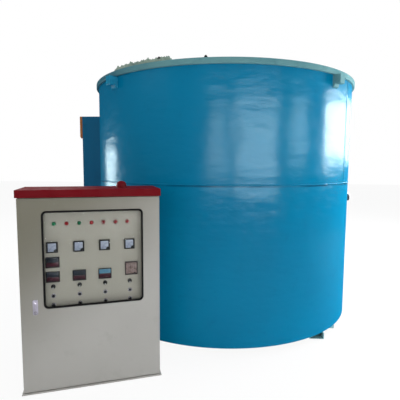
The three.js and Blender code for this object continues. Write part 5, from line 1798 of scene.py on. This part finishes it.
    def meter_marks(self, lean: float) -> Surface:
        """A meter's marks: a dark quarter disc over the scale's corner, an arc, ticks and a pointer.

        Each lies at an angle about that corner and at its own radius.

        Args:
            lean: The pointer's angle in degrees.

        Returns:
            The marks.
        """
        corner, lift = np.array(self.scale_corner), self.scale_rise

        def rim(radius: float, angle: Array) -> Array:
            """Points about the corner: radius times the cosine and sine of each angle."""
            return corner + radius * np.stack([np.cos(angle), np.sin(angle)], -1)

        quarter = np.vstack([rim(self.scale_dark, np.linspace(np.pi / 2, np.pi, 24)), corner])
        angles = np.radians(np.linspace(*self.scale_span, 11))
        short, long = self.tick_lengths
        ticks = []
        for i, angle in enumerate(angles):
            bar = rounded_rectangle(short if i % 5 else long, 0.0008, 0.0002, 1)
            c, s = math.cos(angle), math.sin(angle)
            spun = bar @ np.array([[c, s], [-s, c]]) + rim(self.tick_circle, angle)
            ticks.append(plate(spun, 0.0003, 0.0001).moved(0, 0, lift))
        arc = level(rim(self.scale_arc, np.linspace(angles[0], angles[-1], 30)), lift + 0.0002)
        pointer = level(np.linspace(corner, rim(self.pointer, math.radians(lean)), 6), self.pointer_rise)
        return joined(
            plate(quarter, 0.0006, 0.0001).moved(0, 0, lift), *ticks, swept(arc, ring_of(0.0004, 6), UP),
            swept(pointer, ring_of(0.0006, 6), UP, np.linspace(1.2, 0.4, 6)),
        )

    def build_meter(self, number: int, x: float) -> None:
        """Adds a flush meter: black frame, pale face, dark scale corner, arc of ticks and pointer.

        Args:
            number: The meter's number, from one.
            x: Its middle across the panel.
        """
        places, side, corner = [(x, self.meter_z)], self.meter_side, self.meter_corner
        back = disc(self.barrel, 40, self.barrel_depth, 0.002).mapped(lambda p: p * [1, 1, -1])
        back = Surface(back.points, tuple(block[:, ::-1] for block in back.faces))
        outer = rounded_rectangle(side, side, corner, 4)
        inner = rounded_rectangle(*self.meter_opening, 0.003, 4)
        case = joined(
            frame_plate(outer, inner, self.meter_rise, 0.0018).moved(0, 0, self.frame_clear),
            slab(side - self.lip, side - self.lip, corner, 4, 0.0055, 0.0005, (0, 0, self.clear)),
            back,
        )
        self.add(f"meter_frame_{number}", case, places, BLACK_PLASTIC, node=f"panel_meter_{number}")
        width, height = self.meter_opening
        face = slab(width + self.lip, height + self.lip, 0.003, 4, 0.0062, 0.0002, (0, 0, 0.0040))
        self.add(f"meter_face_{number}", face, places, METER_FACE, "meter_white")
        self.add(f"meter_scale_{number}", self.meter_marks(160 - 6 * number), places, BLACK_PLASTIC)

    def cased(self, height: float, opening: Pair, bevel: float) -> Surface:
        """A cased instrument: its frame, the plate in it and the box behind.

        Args:
            height: The frame's height.
            opening: The width and height of the frame's opening.
            bevel: The rounding of the frame's front edges.

        Returns:
            The case.
        """
        width, depth = self.instrument_width, self.box_depth
        outer, inner = rounded_rectangle(width, height, 0.004, 4), rounded_rectangle(*opening, 0.003, 4)
        return joined(
            frame_plate(outer, inner, self.instrument_rise, bevel).moved(0, 0, self.frame_clear),
            slab(width - self.lip, height - self.lip, 0.004, 4, 0.0045, 0.0005, (0, 0, self.clear)),
            slab(self.box_width, height - self.box_less, 0.002, 3, depth, 0.0005, (0, 0, self.frame_clear - depth)),
        )

    def build_controller(self, number: int, x: float, z: float, display: Plastic) -> None:
        """Adds a cased controller: frame, dark reading windows, small keys and the case behind.

        Args:
            number: The controller's number, from one.
            x: Its middle across the panel.
            z: Its middle's height on the panel.
            display: The finish of its upper window.
        """
        node, places = f"controller_{number}", [(x, z)]
        case = self.cased(self.controller_height, self.controller_opening, 0.0014)
        upper = slab(0.0840, 0.0330, 0.002, 3, 0.0030, 0.0004, (0, 0.0178, self.window_back))
        lower = slab(0.0840, 0.0310, 0.002, 3, 0.0026, 0.0004, (0, -0.0182, self.window_back))
        keys = [
            slab(*self.key_size, 0.0018, 3, 0.0012, 0.0004, (self.key_pitch * (i - 2), -0.0285, 0.0070))
            for i in range(4)
        ]
        self.add(node + "_case", case, places, BLACK_PLASTIC, node=node)
        self.add(node + "_upper_window", upper, places, display)
        self.add(node + "_lower_window", lower, places, DISPLAY_MAROON)
        self.add(node + "_keys", joined(*keys), places, DISPLAY_SLATE)

    def build_recorder(self) -> None:
        """Adds the chart recorder: dark case, pinkish chart window, paper lines and a latch."""
        places, slot = [self.recorder], "recorder_plastic"
        case = self.cased(self.recorder_height, self.recorder_opening, 0.0016)
        self.add("recorder_case", case, places, RECORDER_CASE, slot, "chart_recorder")
        chart = slab(0.0800, 0.0840, 0.002, 3, 0.0030, 0.0004, (0, 0, self.window_back))
        self.add("recorder_chart", chart, places, RECORDER_PAPER, slot)
        line, lift = self.chart_line, self.chart_rise
        rows = [slab(0.070, line, 0.0003, 1, 0.0004, 0.0001, (0, 0.010 * (i - 3), lift)) for i in range(7)]
        columns = [slab(line, 0.066, 0.0003, 1, 0.0004, 0.0001, (0.026 - 0.016 * i, 0, lift)) for i in range(4)]
        latch = slab(0.016, 0.008, 0.002, 3, 0.0022, 0.0006, (0.026, -0.0375, 0.0072))
        self.add("recorder_lines", joined(*rows, *columns, latch), places, RECORDER_CASE, slot)

    def build_selector(self, number: int, x: float) -> None:
        """Adds a selector: shaft, fluted skirt and a grip with a white pointer mark.

        Args:
            number: The selector's number, from one.
            x: Its middle across the panel.
        """
        body, node, places = f"selector_{number}", f"selector_knob_{number}", [(x, self.selector_z)]
        profile = np.array([(0.0, 0.0003), (0.0164, 0.0003), (0.0164, 0.0046), (0.0152, 0.0060), (0.0, 0.0060)])
        flutes = self.selector_flutes
        skirt = lathe(profile, 96, rows=slice(3), flutes=lambda turn: 1 - 0.03 * np.abs(np.sin(flutes * turn)))
        grip = plate(rounded_rectangle(*self.grip, 0.0042, 5), self.grip_rise, 0.0016, 3).moved(0, 0, self.frame_clear)
        knob = joined(skirt, grip, disc(self.shaft, 16, 0.0142, 0.001, (0, 0, self.shaft_back)))
        self.add("fluted_" + node, knob, places, BLACK_PLASTIC, node=node, body=body)
        mark = slab(0.0072, 0.0084, 0.0035, 4, 0.0002, 0.0001, (0, -0.0060, 0.0197))
        self.add(f"selector_mark_{number}", mark, places, WHITE_MARK, body=body)

    def build_buttons(self) -> None:
        """Adds the knurled collars on the panel and the eight buttons on their own bodies."""
        profile = np.array(
            [(0.0113, 0.0003), (0.0158, 0.0003), (0.0158, 0.0034), (0.0146, 0.0050), (0.0120, 0.0050), (0.0113, 0.0040)]
        )
        teeth = self.collar_teeth
        collar = lathe(profile, 120, True, slice(1, 3), lambda turn: 1 + 0.010 * np.cos(teeth * turn))
        kinds = (("start", self.start_z), ("stop", self.stop_z))
        self.add("button_collars", collar, [(x, z) for x in self.columns for _, z in kinds], LOCK_CHROME, "panel_paint")
        out, back = self.button, self.button_back
        head = turned([(0.0, back), (out, back), (out, 0.0108), (0.0, 0.0100)], [0, 0.0004, 0.0012, 0], 4, 40)
        button = joined(head, disc(self.shaft, 16, 0.0199, 0.001, (0, 0, self.shaft_back)))
        for kind, z in kinds:
            for i, x in enumerate(self.columns, 1):
                node = f"{kind}_button_{i}"
                self.add("turned_" + node, button, [(x, z)], BLACK_PLASTIC, node=node, body=f"{kind}_{i}")

    def build(self) -> None:
        """Builds and dresses the panel's pieces."""
        sheet = self.sheet_surface()
        self.add("instrument_sheet", sheet, [(0.0, 0.0)], PANEL_ENAMEL, "panel_paint", "instrument_panel")
        self.build_lamps()
        for i, x in enumerate(self.columns, 1):
            self.build_meter(i, x)
            self.build_selector(i, x)
        for i, controller in enumerate(self.controllers, 1):
            self.build_controller(i, *controller)
        self.build_recorder()
        self.build_buttons()


# Studio


class Seen(Enum):
    """Where a light shows: everywhere, in reflections alone, or in soft light alone."""

    EVERYWHERE = "everywhere"
    MIRRORED = "mirrored"
    SOFT = "soft"


@dataclass(frozen=True)
class Lamp:
    """A soft rectangular light: where it stands, what it looks at, its size, its power and where it shows."""

    name: str
    place: Triple
    size: Pair
    power: float
    seen: Seen = Seen.EVERYWHERE
    target: Triple = (0.0, 0.0, 2.0)

    def light(self) -> None:
        """Hangs the light."""
        data = bpy.data.lights.new(self.name, "AREA")
        data.shape = "RECTANGLE"
        data.size, data.size_y = self.size
        data.energy = self.power
        lamp = bpy.data.objects.new(self.name, data)
        lamp.location = self.place
        lamp.visible_diffuse = self.seen is not Seen.MIRRORED
        lamp.visible_glossy = self.seen is not Seen.SOFT
        lamp.visible_camera = False
        lamp.rotation_euler = (Vector(self.target) - Vector(self.place)).to_track_quat("-Z", "Y").to_euler()
        bpy.context.scene.collection.objects.link(lamp)


@dataclass(frozen=True)
class Studio:
    """The camera, the floor, the white background and the lamps."""

    eye: Triple = (0.0, -4.5626, 1.6806)
    pitch: float = 0.0953
    yaw: float = 0.0595
    roll: float = 0.0066
    lens: float = 32.79
    sensor: float = 36.0
    nearest: float = 0.05
    floor_half: float = 30.0
    grey: Colour = (0.62, 0.64, 0.66)
    grey_strength: float = 0.66
    lamps: tuple[Lamp, ...] = (
        Lamp("key_right", (7.5, 2.7, 6.5), (4.0, 4.0), 420.0, target=(0.0, 0.0, 1.2)),
        Lamp("window_right", (5.87, 3.5, 2.6), (9.15, 1.6), 8500.0, Seen.MIRRORED, (0.66, 0.53, 2.0)),
        Lamp("window_left", (-7.2, 2.2, 1.5), (2.6, 1.4), 1400.0, Seen.MIRRORED, (0.0, 0.0, 1.5)),
        Lamp("window_side", (7.0, -4.0, 2.6), (2.2, 1.5), 230.0, Seen.MIRRORED),
        Lamp("window_front", (3.55, -7.3, 2.175), (5.0, 2.25), 860.0, Seen.MIRRORED),
        Lamp("window_near", (-0.5, -8.4, 2.2), (2.4, 2.1), 220.0, Seen.MIRRORED),
        Lamp("wash_right", (7.3, 1.9, 2.55), (5.0, 1.5), 600.0, Seen.SOFT),
        Lamp("wash_front", (4.3, -7.1, 2.55), (1.6, 1.5), 70.0, Seen.SOFT),
        Lamp("wash_near", (-0.5, -8.4, 2.6), (2.4, 1.5), 32.0, Seen.SOFT),
        Lamp("fill_left", (-7.0, -5.0, 5.5), (4.0, 4.0), 50.0, target=(-0.6, -1.0, 1.2)),
        Lamp("top", (0.0, -1.0, 8.0), (6.0, 6.0), 130.0, target=(0.0, 0.0, 1.0)),
        Lamp("back", (-2.0, 8.0, 5.0), (5.0, 4.0), 260.0, target=(0.0, 0.0, 1.5)),
    )

    def camera(self) -> None:
        """Sets the camera: turned up from straight down, then turned left, then rolled about its view."""
        data = bpy.data.cameras.new("camera")
        data.lens, data.sensor_width, data.clip_start = self.lens, self.sensor, self.nearest
        camera = bpy.data.objects.new("camera", data)
        bpy.context.scene.collection.objects.link(camera)
        turn = Matrix.Rotation(self.yaw, 4, "Z") @ Matrix.Rotation(math.pi / 2 - self.pitch, 4, "X")
        camera.matrix_world = Matrix.Translation(self.eye) @ turn @ Matrix.Rotation(self.roll, 4, "Z")
        bpy.context.scene.camera = camera

    def floor(self) -> None:
        """Lays the floor: one large square."""
        corners = self.floor_half * np.array([(-1.0, -1.0, 0.0), (1.0, -1.0, 0.0), (1.0, 1.0, 0.0), (-1.0, 1.0, 0.0)])
        mesh = as_mesh("floor", Surface(corners, (np.array([[0, 1, 2, 3]]),)))
        dressed(mesh, FLOOR_WHITE)
        floor = bpy.data.objects.new("floor", mesh)
        bpy.context.scene.collection.objects.link(floor)

    def background(self) -> None:
        """Sets the world: white to the camera, to gloss and to glass, and a plain grey for soft light."""
        world = bpy.data.worlds.new("studio")
        world.use_nodes = True
        tree = world.node_tree
        tree.nodes.clear()
        rays = tree.nodes.new("ShaderNodeLightPath").outputs
        seen = rays["Is Camera Ray"]
        for kind in ("Is Glossy Ray", "Is Transmission Ray"):
            either = tree.nodes.new("ShaderNodeMath")
            either.operation = "MAXIMUM"
            tree.links.new(seen, either.inputs[0])
            tree.links.new(rays[kind], either.inputs[1])
            seen = either.outputs[0]
        mix = tree.nodes.new("ShaderNodeMixShader")
        tree.links.new(seen, mix.inputs[0])
        for place, (colour, strength) in enumerate(((self.grey, self.grey_strength), ((1.0, 1.0, 1.0), 1.0)), 1):
            sky = tree.nodes.new("ShaderNodeBackground")
            sky.inputs["Color"].default_value = (*colour, 1.0)
            sky.inputs["Strength"].default_value = strength
            tree.links.new(sky.outputs[0], mix.inputs[place])
        tree.links.new(mix.outputs[0], tree.nodes.new("ShaderNodeOutputWorld").inputs["Surface"])
        bpy.context.scene.world = world

    def build(self) -> None:
        """Sets up the studio."""
        bpy.context.scene.view_settings.view_transform = "Standard"
        self.camera()
        self.floor()
        self.background()
        for lamp in self.lamps:
            lamp.light()


def main() -> None:
    """Builds every sub-assembly in order, then the studio."""
    logging.basicConfig(level=logging.INFO, format="%(name)s %(message)s")
    place = CabinetFrame()
    for assembly in (Shell(), Chamber(), TerminalBox(), Lid(), Cabinet(place), Door(place), Panel(place)):
        log.info("building %s", type(assembly).__name__)
        assembly.build()
    Studio().build()


if __name__ == "__main__":
    main()
